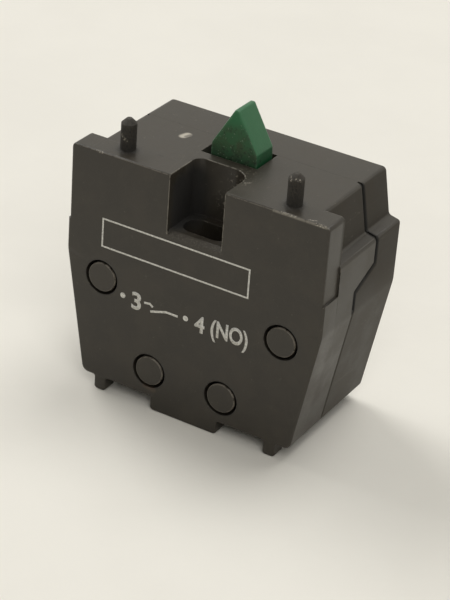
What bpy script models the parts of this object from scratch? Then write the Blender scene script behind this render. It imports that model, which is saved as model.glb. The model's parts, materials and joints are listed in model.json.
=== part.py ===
"""Single-pole make contact block for a 22 mm industrial push button.

Metres, +Z up.  The block stands on its feet at z = 0, its front face looks
along -Y, and the plunger that the button head presses stands on the top face.
"""

import math

import bmesh
import bpy
import numpy as np
from mathutils import Matrix, Vector

# Housing, outside
BODY_WIDTH = 0.0294
BODY_DEPTH = 0.0150
BODY_HEIGHT = 0.0270
TOP_INSET = 0.0022
NECK_FLARE = 0.0009
SHOULDER_DROP = 0.0049
SHOULDER_FALL = 0.0003
BEND_HEIGHT = 0.01515
BASE_WIDTH = 0.0247
FOOT_HEIGHT = 0.0015
FOOT_WIDTH = 0.0014
FOOT_INSET = 0.00155
FOOT_DEPTH = 0.0016
TAB_WIDTH = 0.0079
TAB_DEPTH = 0.0055
PLATE_THICKNESS = 0.0029
PLATE_STEP = 0.0002
PLATE_STEP_HEIGHT = 0.0186
FLUSH_STEP = 0.00005
EDGE_ROUND = 0.0002
CORNER_ROUND = 0.0004
TOP_CORNER_ROUND = 0.0005
BASE_CORNER_ROUND = 0.0011
BEND_ROUND = 0.0040
SHOULDER_ROUND = 0.0004

# Parting between the two shells, a stepped plane
PARTING_GAP = 0.0003
PARTING_LOWER_GAP = 0.00012
PARTING_PLUNGER_GAP = 0.0004
PARTING_LOWER_DEPTH = 0.0063
PARTING_STEP_HEIGHT = 0.0174
PARTING_STEP_RISE = 0.0016
TOP_SEAM = 0.00008
TOP_LIP_HEIGHT = 0.0008
TOP_LIP_INSET = 0.0006

# Walls and running clearances
WALL = 0.0015
POCKET_WALL = 0.0012
SEAT_GAP = 0.0003
RUNNING_GAP = 0.00025
JOIN = 0.0002
CUT_PAST = 0.0010

# Locating pegs on the top ledge
PEG_DIAMETER = 0.0016
PEG_HEIGHT = 0.0033
PEG_TIP = 0.0005
PEG_TIP_TAPER = 0.0005
PEG_INSET = 0.0031
PEG_DEPTH = 0.0022

# Front pocket for the collar lug, and the captive fixing screw under it
POCKET_WIDTH = 0.0062
POCKET_DEPTH = 0.0051
POCKET_HEIGHT = 0.0061
POCKET_ROUND_LEFT = 0.0010
POCKET_ROUND_RIGHT = 0.0020
POCKET_LIP_DEPTH = 0.0005
POCKET_LIP_HEIGHT = 0.0004
SLOT_LENGTH = 0.0052
SLOT_WIDTH = 0.00285
SLOT_DEPTH = 0.0038
FIXING_DEPTH = 0.00265
FIXING_SHANK = 0.0024
FIXING_HEAD = 0.0038
FIXING_HEAD_HEIGHT = 0.0020
FIXING_TRAVEL = 0.0060
FIXING_RECESS = 0.0010
FIXING_TIP_DROP = 0.0034
RETAINER_THICKNESS = 0.0005

# Four assembly pins, flush with the front face
PIN_DIAMETER = 0.0030
PIN_RING = 0.00018
UPPER_PIN_SPREAD = 0.7075
UPPER_PIN_HEIGHT = 0.0132
LOWER_PIN_PLACE = 0.00425
LOWER_PIN_HEIGHT = 0.00445

# Plunger
PLUNGER_WIDTH = 0.0052
WEDGE_DEPTH = 0.00315
WEDGE_BAND = 0.0012
WEDGE_HEIGHT = 0.0053
WEDGE_RIDGE = 0.00045
WEDGE_RIDGE_ROUND = 0.00025
TRAVEL = 0.0043
RELIEF_WIDTH = 0.0007
FLANGE_OVERHANG = 0.0013
FLANGE_THICKNESS = 0.0013
YOKE_BLOCK = 0.0026
LEG_THICKNESS = 0.0011
SILL_HEIGHT = 0.0016
SPIGOT_HEIGHT = 0.0010
SPIGOT_GAP = 0.0004

# Contacts
CLOSING_TRAVEL = 0.0026
CLOSED_GAP = 0.00005
BRIDGE_LENGTH = 0.0140
BRIDGE_WIDTH = 0.0024
BRIDGE_THICKNESS = 0.0006
STRIP_THICKNESS = 0.0007
ARM_WIDTH = 0.0030
ARM_REACH = 0.0014
TIP_SPACING = 0.0108
TIP_DIAMETER = 0.0022
TIP_HEIGHT = 0.0006
TIP_FLAT = 0.75
RIVET_DIAMETER = 0.0012
RIVET_GAP = 0.00015

# Springs
RETURN_DIAMETER = 0.0036
RETURN_WIRE = 0.00045
RETURN_TURNS = 6
CONTACT_DIAMETER = 0.0024
CONTACT_WIRE = 0.0003
CONTACT_TURNS = 5
POINTS_PER_TURN = 10

# Screw terminals, reached from below
TERMINAL_SIDE_GAP = 0.0004
TERMINAL_RECESS = 0.0039
TERMINAL_SHANK = 0.0024
TERMINAL_REACH = 0.0009
TERMINAL_HEAD = 0.0041
TERMINAL_HEAD_HEIGHT = 0.0016
WASHER_THICKNESS = 0.0005
WASHER_DIAMETER = 0.0041
SADDLE_THICKNESS = 0.0009
SADDLE_LIP_GAP = 0.00035
SADDLE_LIP = 0.0005
STACK_GAP = 0.0002
STRIP_RISE = 0.0027
DRIVE_SLOT = 0.0008
DRIVE_DEPTH = 0.0008
DRIVE_LONG = 0.95
DRIVE_CROSS = 0.62

ROUND_SIDES = 32
SMALL_SIDES = 20

# Planes and places worked out from the sizes above
BODY_HALF = BODY_WIDTH / 2
TOP_HALF = BODY_HALF - TOP_INSET
BASE_HALF = BASE_WIDTH / 2
FRONT = -BODY_DEPTH / 2
REAR = BODY_DEPTH / 2
TOP = BODY_HEIGHT
BASE = FOOT_HEIGHT
FLOOR = BASE + WALL
CEILING = TOP - WALL
SHOULDER = TOP - SHOULDER_DROP
PLATE_REAR = FRONT + PLATE_THICKNESS
PARTING_LOWER = FRONT + PARTING_LOWER_DEPTH
INNER_REAR = REAR - WALL
POCKET_BACK = FRONT + POCKET_DEPTH
POCKET_FLOOR = TOP - POCKET_HEIGHT
GUIDE_FRONT = POCKET_BACK + POCKET_WALL

TERMINAL_HEAD_LOW = TERMINAL_RECESS
TERMINAL_HEAD_TOP = TERMINAL_HEAD_LOW + TERMINAL_HEAD_HEIGHT
WASHER_LOW = TERMINAL_HEAD_TOP + STACK_GAP
SADDLE_LOW = WASHER_LOW + WASHER_THICKNESS + STACK_GAP
STRIP_LOW = SADDLE_LOW + SADDLE_THICKNESS + SEAT_GAP
STRIP_TOP = STRIP_LOW + STRIP_THICKNESS
ARM_TOP = STRIP_LOW + STRIP_RISE
ARM_LOW = ARM_TOP - STRIP_THICKNESS
FIXED_TIP_TOP = ARM_TOP + STACK_GAP / 2 + TIP_HEIGHT
MOVING_TIP_LOW = FIXED_TIP_TOP + CLOSING_TRAVEL + CLOSED_GAP
BRIDGE_LOW = MOVING_TIP_LOW + TIP_HEIGHT + STACK_GAP / 2
BRIDGE_TOP = BRIDGE_LOW + BRIDGE_THICKNESS

WEDGE_FRONT = GUIDE_FRONT + RUNNING_GAP
WEDGE_REAR = WEDGE_FRONT + WEDGE_DEPTH
PARTING_UPPER = WEDGE_REAR + PARTING_PLUNGER_GAP
WINDOW_DEPTH = BRIDGE_WIDTH + 2 * RUNNING_GAP
YOKE_FRONT = WEDGE_FRONT
WINDOW_FRONT = YOKE_FRONT + LEG_THICKNESS
WINDOW_REAR = WINDOW_FRONT + WINDOW_DEPTH
YOKE_REAR = WINDOW_REAR + LEG_THICKNESS
CONTACT_PLANE = (WINDOW_FRONT + WINDOW_REAR) / 2
FLANGE_TOP = CEILING - SEAT_GAP
FLANGE_LOW = FLANGE_TOP - FLANGE_THICKNESS
WINDOW_TOP = FLANGE_LOW - YOKE_BLOCK
SILL_TOP = BRIDGE_LOW - SEAT_GAP
SILL_LOW = SILL_TOP - SILL_HEIGHT

TERMINAL_INNER = LOWER_PIN_PLACE + PIN_DIAMETER / 2 + PIN_RING + 2 * SEAT_GAP - JOIN
TERMINAL_OUTER = TERMINAL_INNER + TERMINAL_SIDE_GAP + TERMINAL_HEAD + SEAT_GAP
STRIP_INNER = TERMINAL_INNER + SEAT_GAP
STRIP_OUTER = TERMINAL_OUTER - SEAT_GAP
TERMINAL_FRONT = PARTING_LOWER - WALL
TERMINAL_AXIS = STRIP_OUTER - TERMINAL_HEAD / 2
TERMINAL_MIDDLE = (TERMINAL_FRONT + INNER_REAR) / 2
SADDLE_REACH = WASHER_DIAMETER / 2 + SADDLE_LIP_GAP + SADDLE_LIP
CHAMBER_HALF = max(BRIDGE_LENGTH / 2 + SEAT_GAP, STRIP_INNER + STRIP_THICKNESS) + SEAT_GAP
CHAMBER_FRONT = YOKE_FRONT - 2 * SEAT_GAP
CHAMBER_LOW = ARM_LOW - SEAT_GAP
TERMINAL_CEILING = max(CHAMBER_LOW + JOIN, STRIP_TOP + TERMINAL_REACH + SEAT_GAP)
FIXING_PLACE = FRONT + FIXING_DEPTH
FOOT_OUTER = BASE_HALF - FOOT_INSET
FOOT_INNER = FOOT_OUTER - FOOT_WIDTH
BASE_CORNER = min(BASE_CORNER_ROUND, FOOT_INSET / 2)

for stale in list(bpy.data.objects):
    bpy.data.objects.remove(stale, do_unlink=True)

parts = bpy.data.collections.new("contact_block")
cutters = bpy.data.collections.new("contact_block_cutters")
bpy.context.scene.collection.children.link(parts)
bpy.context.scene.collection.children.link(cutters)

AXIS_TURN = {
    "X": Matrix(((0, 0, 1), (1, 0, 0), (0, 1, 0))).to_4x4(),
    "Y": Matrix(((1, 0, 0), (0, 0, -1), (0, 1, 0))).to_4x4(),
    "Z": Matrix.Identity(4),
}
AXIS_VECTOR = {"X": Vector((1, 0, 0)), "Y": Vector((0, 1, 0)), "Z": Vector((0, 0, 1))}


def mesh_object(name, mesh):
    obj = bpy.data.objects.new(name, mesh)
    cutters.objects.link(obj)
    return obj


def as_mesh(guide):
    """Replaces a curve or an unapplied modifier stack by its welded mesh."""
    name = guide.name
    place = guide.matrix_world.copy()
    graph = bpy.context.evaluated_depsgraph_get()
    mesh = bpy.data.meshes.new_from_object(guide.evaluated_get(graph))
    bpy.data.objects.remove(guide, do_unlink=True)
    work = bmesh.new()
    work.from_mesh(mesh)
    bmesh.ops.remove_doubles(work, verts=work.verts, dist=1e-7)
    bmesh.ops.dissolve_limit(work, angle_limit=0.001, verts=work.verts, edges=work.edges)
    bmesh.ops.recalc_face_normals(work, faces=work.faces)
    work.to_mesh(mesh)
    work.free()
    mesh.transform(place)
    return mesh_object(name, mesh)


def extruded(name, outline, low, high, axis):
    """A closed flat outline, carried from low to high along a world axis."""
    mesh = bpy.data.meshes.new(name)
    work = bmesh.new()
    half = (high - low) / 2
    near = [work.verts.new((across, along, -half)) for across, along in outline]
    far = [work.verts.new((across, along, half)) for across, along in outline]
    work.faces.new(near)
    work.faces.new(far)
    for index in range(len(outline)):
        work.faces.new((near[index - 1], near[index], far[index], far[index - 1]))
    bmesh.ops.recalc_face_normals(work, faces=work.faces)
    work.to_mesh(mesh)
    work.free()
    middle = AXIS_VECTOR[axis] * (low + high) / 2
    mesh.transform(Matrix.Translation(middle) @ AXIS_TURN[axis])
    return mesh_object(name, mesh)


def box(name, x, y, z):
    """A block given by its (low, high) pair along each axis."""
    mesh = bpy.data.meshes.new(name)
    work = bmesh.new()
    bmesh.ops.create_cube(work, size=1.0)
    size = [high - low for low, high in (x, y, z)]
    middle = [(low + high) / 2 for low, high in (x, y, z)]
    bmesh.ops.scale(work, vec=size, verts=work.verts)
    bmesh.ops.translate(work, vec=middle, verts=work.verts)
    work.to_mesh(mesh)
    work.free()
    return mesh_object(name, mesh)


def rod(name, diameter, low, high, place, axis, sides=ROUND_SIDES):
    """A round bar along a world axis through place, from low to high."""
    mesh = bpy.data.meshes.new(name)
    work = bmesh.new()
    bmesh.ops.create_cone(
        work,
        cap_ends=True,
        segments=sides,
        radius1=diameter / 2,
        radius2=diameter / 2,
        depth=high - low,
    )
    work.to_mesh(mesh)
    work.free()
    middle = Vector(place) + AXIS_VECTOR[axis] * (low + high) / 2
    mesh.transform(Matrix.Translation(middle) @ AXIS_TURN[axis])
    return mesh_object(name, mesh)


def turned(name, profile, place, sides=ROUND_SIDES):
    """A profile of (radius, height) points from top to bottom, turned about Z."""
    mesh = bpy.data.meshes.new(name)
    edges = [(i, i + 1) for i in range(len(profile) - 1)]
    mesh.from_pydata([(radius, 0, height) for radius, height in profile], edges, [])
    guide = bpy.data.objects.new(name, mesh)
    cutters.objects.link(guide)
    guide.location = place
    screw = guide.modifiers.new("turn", "SCREW")
    screw.axis = "Z"
    screw.steps = sides
    screw.render_steps = sides
    screw.use_merge_vertices = True
    screw.merge_threshold = 1e-6
    bpy.context.view_layer.update()
    return as_mesh(guide)


def helix(name, diameter, wire, turns, low, high, place):
    """One unbroken coil whose wire lies between low and high; prints its least gap."""
    first = low + wire / 2
    rise = high - low - wire
    count = turns * POINTS_PER_TURN + 1
    angle = np.linspace(0, 2 * math.pi * turns, count)
    radius = (diameter - wire) / 2
    points = np.stack(
        [
            place[0] + radius * np.cos(angle),
            place[1] + radius * np.sin(angle),
            first + rise * angle / angle[-1],
        ],
        axis=1,
    )
    curve = bpy.data.curves.new(name, "CURVE")
    curve.dimensions = "3D"
    curve.bevel_depth = wire / 2
    curve.bevel_resolution = 1
    curve.use_fill_caps = True
    spline = curve.splines.new("POLY")
    spline.points.add(count - 1)
    for point, co in zip(spline.points, points):
        point.co = (*co, 1)
    apart = np.linalg.norm(points[:, None] - points[None], axis=2)
    near = np.abs(np.subtract.outer(np.arange(count), np.arange(count)))
    gap = apart[near > POINTS_PER_TURN / 2].min() - wire
    print(f"{name}: least gap between turns {gap * 1000:.2f} mm")
    guide = bpy.data.objects.new(name, curve)
    cutters.objects.link(guide)
    bpy.context.view_layer.update()
    return as_mesh(guide)


def rounded(corners, steps=4):
    """Outline points from (x, y, radius) corners, with each radius as an arc."""
    outline = []
    for index, (x, y, radius) in enumerate(corners):
        here = Vector((x, y))
        before = Vector(corners[index - 1][:2]) - here
        after = Vector(corners[(index + 1) % len(corners)][:2]) - here
        half = before.angle(after) / 2
        reach = min(radius / math.tan(half), 0.45 * before.length, 0.45 * after.length)
        if radius <= 0:
            outline.append((x, y))
            continue
        before.normalize()
        after.normalize()
        bow = reach * math.tan(half)
        centre = here + (before + after).normalized() * math.hypot(bow, reach)
        start = here + before * reach - centre
        end = here + after * reach - centre
        sweep = start.angle_signed(end)
        for step in range(steps + 1):
            turn = Matrix.Rotation(-sweep * step / steps, 2)
            point = centre + turn @ start
            outline.append((point.x, point.y))
    return outline


def mirrored(half):
    """Both halves of an outline whose right half runs from bottom to top."""
    left = [(-x, y, radius) for x, y, radius in reversed(half)]
    return rounded(half + left)


def soften(obj, width, chosen):
    """Rounds the edges of obj whose two ends both pass the test chosen."""
    work = bmesh.new()
    work.from_mesh(obj.data)
    edges = [edge for edge in work.edges if all(chosen(v.co) for v in edge.verts)]
    bmesh.ops.bevel(work, geom=edges, offset=width, segments=2, profile=0.5, affect="EDGES")
    work.to_mesh(obj.data)
    work.free()


def combine(obj, operation, others):
    for other in others:
        step = obj.modifiers.new(f"{operation.lower()} {other.name}", "BOOLEAN")
        step.operation = operation
        step.solver = "EXACT"
        step.object = other


def cut(obj, *others):
    combine(obj, "DIFFERENCE", others)


def join(obj, *others):
    combine(obj, "UNION", others)


def part(obj, name, look, joint=None):
    """Names a finished piece, gives it its material and puts its origin on its joint."""
    cutters.objects.unlink(obj)
    parts.objects.link(obj)
    obj.name = name
    obj.data.name = name
    colour, roughness, metallic = look
    material = bpy.data.materials.new(name)
    material.use_nodes = True
    shader = material.node_tree.nodes["Principled BSDF"]
    shader.inputs["Base Color"].default_value = (*colour, 1)
    shader.inputs["Roughness"].default_value = roughness
    shader.inputs["Metallic"].default_value = metallic
    obj.data.materials.clear()
    obj.data.materials.append(material)
    if joint is not None:
        obj.data.transform(Matrix.Translation(-Vector(joint)))
        obj.location = joint
    obj.data.shade_smooth()
    obj.data.set_sharp_from_angle(angle=math.radians(35))
    return obj


BLACK_PLASTIC = ((0.045, 0.041, 0.034), 0.55, 0.0)
GREEN_PLASTIC = ((0.05, 0.17, 0.085), 0.45, 0.0)
SPRING_STEEL = ((0.55, 0.55, 0.56), 0.3, 1.0)
BRASS = ((0.72, 0.55, 0.25), 0.3, 1.0)
SILVER = ((0.82, 0.80, 0.76), 0.28, 1.0)
ZINC_STEEL = ((0.62, 0.63, 0.64), 0.32, 1.0)
FIBRE = ((0.35, 0.12, 0.06), 0.7, 0.0)

# Outlines across the block
body_half = [
    (BASE_HALF, BASE, BASE_CORNER),
    (BODY_HALF, BEND_HEIGHT, BEND_ROUND),
    (BODY_HALF, SHOULDER - SHOULDER_FALL, SHOULDER_ROUND),
    (TOP_HALF + NECK_FLARE, SHOULDER, SHOULDER_ROUND),
    (TOP_HALF, TOP, TOP_CORNER_ROUND),
]
plate_base = BASE + FLUSH_STEP
plate_side = BODY_HALF - FLUSH_STEP
plate_half = [
    (TAB_WIDTH / 2, 0, CORNER_ROUND),
    (TAB_WIDTH / 2, plate_base, EDGE_ROUND),
    (FOOT_INNER, plate_base, EDGE_ROUND),
    (FOOT_INNER, 0, CORNER_ROUND),
    (FOOT_OUTER, 0, CORNER_ROUND),
    (FOOT_OUTER, plate_base, EDGE_ROUND),
    (BASE_HALF - FLUSH_STEP, plate_base, BASE_CORNER),
    (plate_side, BEND_HEIGHT, BEND_ROUND),
    (plate_side, PLATE_STEP_HEIGHT, 0),
    (BODY_HALF - PLATE_STEP, PLATE_STEP_HEIGHT, 0),
    (BODY_HALF - PLATE_STEP, TOP - FLUSH_STEP, CORNER_ROUND),
]
body_outline = mirrored(body_half)
plate_outline = mirrored(plate_half)

# Stepped parting: what lies behind it is taken from the front shell, and what
# lies before it from the rear shell
half_gap = PARTING_GAP / 2
lower_half_gap = PARTING_LOWER_GAP / 2
step_slope = PARTING_STEP_RISE / (PARTING_UPPER - PARTING_LOWER)
step_end = PARTING_STEP_HEIGHT + PARTING_STEP_RISE
step_past = step_slope * CUT_PAST
behind_parting = extruded(
    "behind_parting",
    [
        (PARTING_LOWER - lower_half_gap, -CUT_PAST),
        (REAR + CUT_PAST, -CUT_PAST),
        (REAR + CUT_PAST, step_end + half_gap + step_past),
        (PARTING_UPPER - half_gap + CUT_PAST, step_end + half_gap + step_past),
        (PARTING_LOWER - lower_half_gap, PARTING_STEP_HEIGHT + half_gap),
    ],
    -BODY_WIDTH,
    BODY_WIDTH,
    "X",
)
before_parting = extruded(
    "before_parting",
    [
        (PARTING_LOWER + half_gap - CUT_PAST, PARTING_STEP_HEIGHT - half_gap - step_past),
        (PARTING_UPPER + half_gap, step_end - half_gap),
        (PARTING_UPPER + half_gap, TOP + CUT_PAST),
        (PARTING_LOWER + half_gap - CUT_PAST, TOP + CUT_PAST),
    ],
    -BODY_WIDTH,
    BODY_WIDTH,
    "X",
)

# Hollows shared by both shells
contact_chamber = box(
    "contact_chamber",
    (-CHAMBER_HALF, CHAMBER_HALF),
    (CHAMBER_FRONT, INNER_REAR),
    (CHAMBER_LOW, POCKET_FLOOR - WALL),
)
flange_half = PLUNGER_WIDTH / 2 + FLANGE_OVERHANG
plunger_shaft = box(
    "plunger_shaft",
    (-flange_half - 2 * SEAT_GAP, flange_half + 2 * SEAT_GAP),
    (GUIDE_FRONT, INNER_REAR),
    (POCKET_FLOOR - WALL - JOIN, CEILING),
)
sill_well = box(
    "sill_well",
    (-PLUNGER_WIDTH / 2 - RUNNING_GAP, PLUNGER_WIDTH / 2 + RUNNING_GAP),
    (CHAMBER_FRONT, YOKE_REAR + 2 * SEAT_GAP),
    (SILL_LOW - TRAVEL - SPIGOT_HEIGHT, CHAMBER_LOW + JOIN),
)
spring_well = box(
    "spring_well",
    (-RETURN_DIAMETER / 2 - SEAT_GAP, RETURN_DIAMETER / 2 + SEAT_GAP),
    (CHAMBER_FRONT, YOKE_REAR + 2 * SEAT_GAP),
    (FLOOR, SILL_LOW - TRAVEL - SPIGOT_HEIGHT + JOIN),
)
core_floor = UPPER_PIN_HEIGHT + PIN_DIAMETER / 2 + PIN_RING + WALL / 2
hollows = [contact_chamber, plunger_shaft, sill_well, spring_well]
for side, sign in (("left", -1), ("right", 1)):
    hollows.append(
        box(
            f"terminal_pocket_{side}",
            sorted((sign * TERMINAL_INNER, sign * TERMINAL_OUTER)),
            (TERMINAL_FRONT, INNER_REAR),
            (-CUT_PAST, TERMINAL_CEILING),
        )
    )
    hollows.append(
        box(
            f"side_core_{side}",
            sorted((sign * (CHAMBER_HALF + WALL / 2), sign * (BODY_HALF - WALL))),
            (PLATE_REAR - WALL / 2, INNER_REAR),
            (core_floor, SHOULDER - SHOULDER_FALL - WALL),
        )
    )
pin_places = {
    "upper_left": (-UPPER_PIN_SPREAD * BODY_HALF, UPPER_PIN_HEIGHT),
    "upper_right": (UPPER_PIN_SPREAD * BODY_HALF, UPPER_PIN_HEIGHT),
    "lower_left": (-LOWER_PIN_PLACE, LOWER_PIN_HEIGHT),
    "lower_right": (LOWER_PIN_PLACE, LOWER_PIN_HEIGHT),
}
for corner, (across, height) in pin_places.items():
    hollows.append(
        rod(
            f"pin_bore_{corner}",
            PIN_DIAMETER + 2 * PIN_RING,
            FRONT - CUT_PAST,
            INNER_REAR,
            (across, 0, height),
            "Y",
        )
    )

# Front shell: name plate with its feet and tab, the body behind it, two pegs
front_shell = extruded("front_plate", plate_outline, FRONT, PLATE_REAR, "Y")
soften(front_shell, EDGE_ROUND, lambda co: co.y < FRONT + EDGE_ROUND / 2)
front_body = extruded(
    "front_body", body_outline, PLATE_REAR - JOIN, PARTING_UPPER - half_gap, "Y"
)
tab_side = TAB_WIDTH / 2 - EDGE_ROUND / 2
tab_block = extruded(
    "tab_block",
    rounded(
        [
            (-tab_side, EDGE_ROUND / 2, CORNER_ROUND),
            (tab_side, EDGE_ROUND / 2, CORNER_ROUND),
            (tab_side, BASE + JOIN, 0),
            (-tab_side, BASE + JOIN, 0),
        ]
    ),
    PLATE_REAR - 2 * JOIN,
    FRONT + TAB_DEPTH,
    "Y",
)
pegs = []
for side, sign in (("left", -1), ("right", 1)):
    peg = turned(
        f"peg_{side}",
        [
            (0, TOP + PEG_HEIGHT),
            (PEG_DIAMETER / 2 - PEG_TIP_TAPER, TOP + PEG_HEIGHT),
            (PEG_DIAMETER / 2, TOP + PEG_HEIGHT - PEG_TIP),
            (PEG_DIAMETER / 2, TOP - JOIN),
            (0, TOP - JOIN),
        ],
        (sign * (TOP_HALF - PEG_INSET), FRONT + PEG_DEPTH, 0),
        SMALL_SIDES,
    )
    pegs.append(peg)
foot_reliefs = [
    box(
        f"foot_relief_{side}",
        sorted((sign * (FOOT_INNER - JOIN), sign * (FOOT_OUTER + JOIN))),
        (FRONT + FOOT_DEPTH, PLATE_REAR + CUT_PAST),
        (-CUT_PAST, plate_base + JOIN),
    )
    for side, sign in (("left", -1), ("right", 1))
]
lug_pocket = extruded(
    "lug_pocket",
    rounded(
        [
            (-POCKET_WIDTH / 2, FRONT - CUT_PAST, 0),
            (POCKET_WIDTH / 2, FRONT - CUT_PAST, 0),
            (POCKET_WIDTH / 2, POCKET_BACK, POCKET_ROUND_RIGHT),
            (-POCKET_WIDTH / 2, POCKET_BACK, POCKET_ROUND_LEFT),
        ]
    ),
    POCKET_FLOOR,
    TOP + CUT_PAST,
    "Z",
)
lip_slope = POCKET_LIP_HEIGHT / POCKET_LIP_DEPTH
pocket_lip = extruded(
    "pocket_lip",
    [
        (FRONT - CUT_PAST, POCKET_FLOOR - POCKET_LIP_HEIGHT - lip_slope * CUT_PAST),
        (FRONT + POCKET_LIP_DEPTH + JOIN, POCKET_FLOOR + lip_slope * JOIN),
        (FRONT - CUT_PAST, POCKET_FLOOR + lip_slope * JOIN),
    ],
    FLUSH_STEP - POCKET_WIDTH / 2,
    POCKET_WIDTH / 2 - FLUSH_STEP,
    "X",
)
slot_half = SLOT_WIDTH / 2
slot_ends = SLOT_LENGTH / 2
screw_slot = extruded(
    "screw_slot",
    rounded(
        [
            (-slot_ends, FIXING_PLACE - slot_half, 0.98 * slot_half),
            (slot_ends, FIXING_PLACE - slot_half, 0.98 * slot_half),
            (slot_ends, FIXING_PLACE + slot_half, 0.98 * slot_half),
            (-slot_ends, FIXING_PLACE + slot_half, 0.98 * slot_half),
        ],
        6,
    ),
    POCKET_FLOOR - SLOT_DEPTH,
    POCKET_FLOOR + CUT_PAST,
    "Z",
)
retainer_low = FIXING_RECESS + FIXING_HEAD_HEIGHT + STACK_GAP
retainer_top = retainer_low + RETAINER_THICKNESS
fixing_seat = retainer_top + FIXING_TRAVEL + STACK_GAP
screw_bore = rod(
    "screw_bore",
    FIXING_SHANK + 2 * RUNNING_GAP,
    fixing_seat - JOIN,
    POCKET_FLOOR - SLOT_DEPTH + JOIN,
    (0, FIXING_PLACE, 0),
    "Z",
)
head_bore = rod(
    "head_bore",
    FIXING_HEAD + 2 * RUNNING_GAP,
    -CUT_PAST,
    fixing_seat,
    (0, FIXING_PLACE, 0),
    "Z",
)
top_lip = box(
    "top_lip",
    (TOP_LIP_INSET - TOP_HALF, TOP_HALF - TOP_LIP_INSET),
    (PARTING_UPPER - half_gap - JOIN, PARTING_UPPER + half_gap - TOP_SEAM),
    (TOP - TOP_LIP_HEIGHT, TOP - FLUSH_STEP),
)
plunger_slot = box(
    "plunger_slot",
    (-PLUNGER_WIDTH / 2 - RUNNING_GAP, PLUNGER_WIDTH / 2 + RUNNING_GAP),
    (GUIDE_FRONT, PARTING_UPPER + CUT_PAST),
    (CEILING - JOIN, TOP + CUT_PAST),
)
plunger_relief = box(
    "plunger_relief",
    (-PLUNGER_WIDTH / 2 - RUNNING_GAP - RELIEF_WIDTH, 0),
    (GUIDE_FRONT, PARTING_UPPER + CUT_PAST),
    (CEILING - JOIN, TOP + CUT_PAST),
)
cut(front_shell, *foot_reliefs)
join(front_shell, tab_block, front_body, *pegs)
cut(front_shell, behind_parting, *hollows)
join(front_shell, top_lip)
cut(front_shell, lug_pocket, pocket_lip, screw_slot, screw_bore, head_bore)
cut(front_shell, plunger_slot, plunger_relief)
part(front_shell, "front_shell", BLACK_PLASTIC)

# Rear shell: feet, a guide rib for the plunger and a spigot for its spring
rear_shell = extruded("rear_body", body_outline, PARTING_LOWER + lower_half_gap, REAR, "Y")
soften(
    rear_shell,
    EDGE_ROUND,
    lambda co: co.y > REAR - EDGE_ROUND / 2 and co.z > BASE + EDGE_ROUND,
)
rear_feet = [
    box(
        f"rear_foot_{side}",
        sorted((sign * FOOT_INNER, sign * FOOT_OUTER)),
        (INNER_REAR + JOIN, REAR),
        (0, BASE + WALL / 2),
    )
    for side, sign in (("left", -1), ("right", 1))
]
guide_rib = box(
    "guide_rib",
    (-LEG_THICKNESS, LEG_THICKNESS),
    (YOKE_REAR + SEAT_GAP, INNER_REAR + JOIN),
    (CHAMBER_LOW - JOIN, CEILING + JOIN),
)
return_bore = RETURN_DIAMETER - 2 * RETURN_WIRE
floor_spigot = rod(
    "floor_spigot",
    return_bore - 2 * SPIGOT_GAP,
    FLOOR - JOIN,
    FLOOR + SPIGOT_HEIGHT,
    (0, CONTACT_PLANE, 0),
    "Z",
    SMALL_SIDES,
)
cut(rear_shell, before_parting, *hollows)
join(rear_shell, *rear_feet, guide_rib, floor_spigot)
part(rear_shell, "rear_shell", BLACK_PLASTIC)

# Assembly pins
for corner, (across, height) in pin_places.items():
    pin = rod(
        f"pin_{corner}",
        PIN_DIAMETER,
        FRONT,
        INNER_REAR - SEAT_GAP,
        (across, 0, height),
        "Y",
    )
    soften(pin, EDGE_ROUND, lambda co: co.y < FRONT + EDGE_ROUND / 2)
    part(pin, f"assembly_pin_{corner}", BLACK_PLASTIC)

# Plunger: roof-shaped head, flange under the top wall, yoke with a window
plunger_axis = (0, (WEDGE_FRONT + WEDGE_REAR) / 2, TOP)
half_plunger = PLUNGER_WIDTH / 2
plunger = extruded(
    "plunger_head",
    mirrored(
        [
            (half_plunger, FLANGE_LOW, 0),
            (half_plunger, TOP + WEDGE_BAND, CORNER_ROUND),
            (WEDGE_RIDGE / 2, TOP + WEDGE_HEIGHT, WEDGE_RIDGE_ROUND),
        ]
    ),
    WEDGE_FRONT,
    WEDGE_REAR,
    "Y",
)
soften(plunger, EDGE_ROUND, lambda co: co.y < WEDGE_FRONT + JOIN and co.z > TOP)
soften(plunger, EDGE_ROUND, lambda co: co.y > WEDGE_REAR - JOIN and co.z > TOP)
yoke = box(
    "yoke", (-half_plunger, half_plunger), (YOKE_FRONT, YOKE_REAR), (SILL_LOW, FLANGE_TOP - JOIN)
)
flange = box(
    "flange", (-flange_half, flange_half), (YOKE_FRONT, YOKE_REAR), (FLANGE_LOW, FLANGE_TOP)
)
window = box(
    "window",
    (-PLUNGER_WIDTH, PLUNGER_WIDTH),
    (WINDOW_FRONT, WINDOW_REAR),
    (SILL_TOP, WINDOW_TOP),
)
sill_spigot = rod(
    "sill_spigot",
    return_bore - 2 * SPIGOT_GAP,
    SILL_LOW - SPIGOT_HEIGHT,
    SILL_LOW + JOIN,
    (0, CONTACT_PLANE, 0),
    "Z",
    SMALL_SIDES,
)
window_spigot = rod(
    "window_spigot",
    CONTACT_DIAMETER - 2 * CONTACT_WIRE - 2 * SPIGOT_GAP,
    WINDOW_TOP - SPIGOT_HEIGHT,
    WINDOW_TOP + JOIN,
    (0, CONTACT_PLANE, 0),
    "Z",
    SMALL_SIDES,
)
join(plunger, flange, yoke)
cut(plunger, window)
join(plunger, sill_spigot, window_spigot)
part(plunger, "plunger", GREEN_PLASTIC, plunger_axis)

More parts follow.
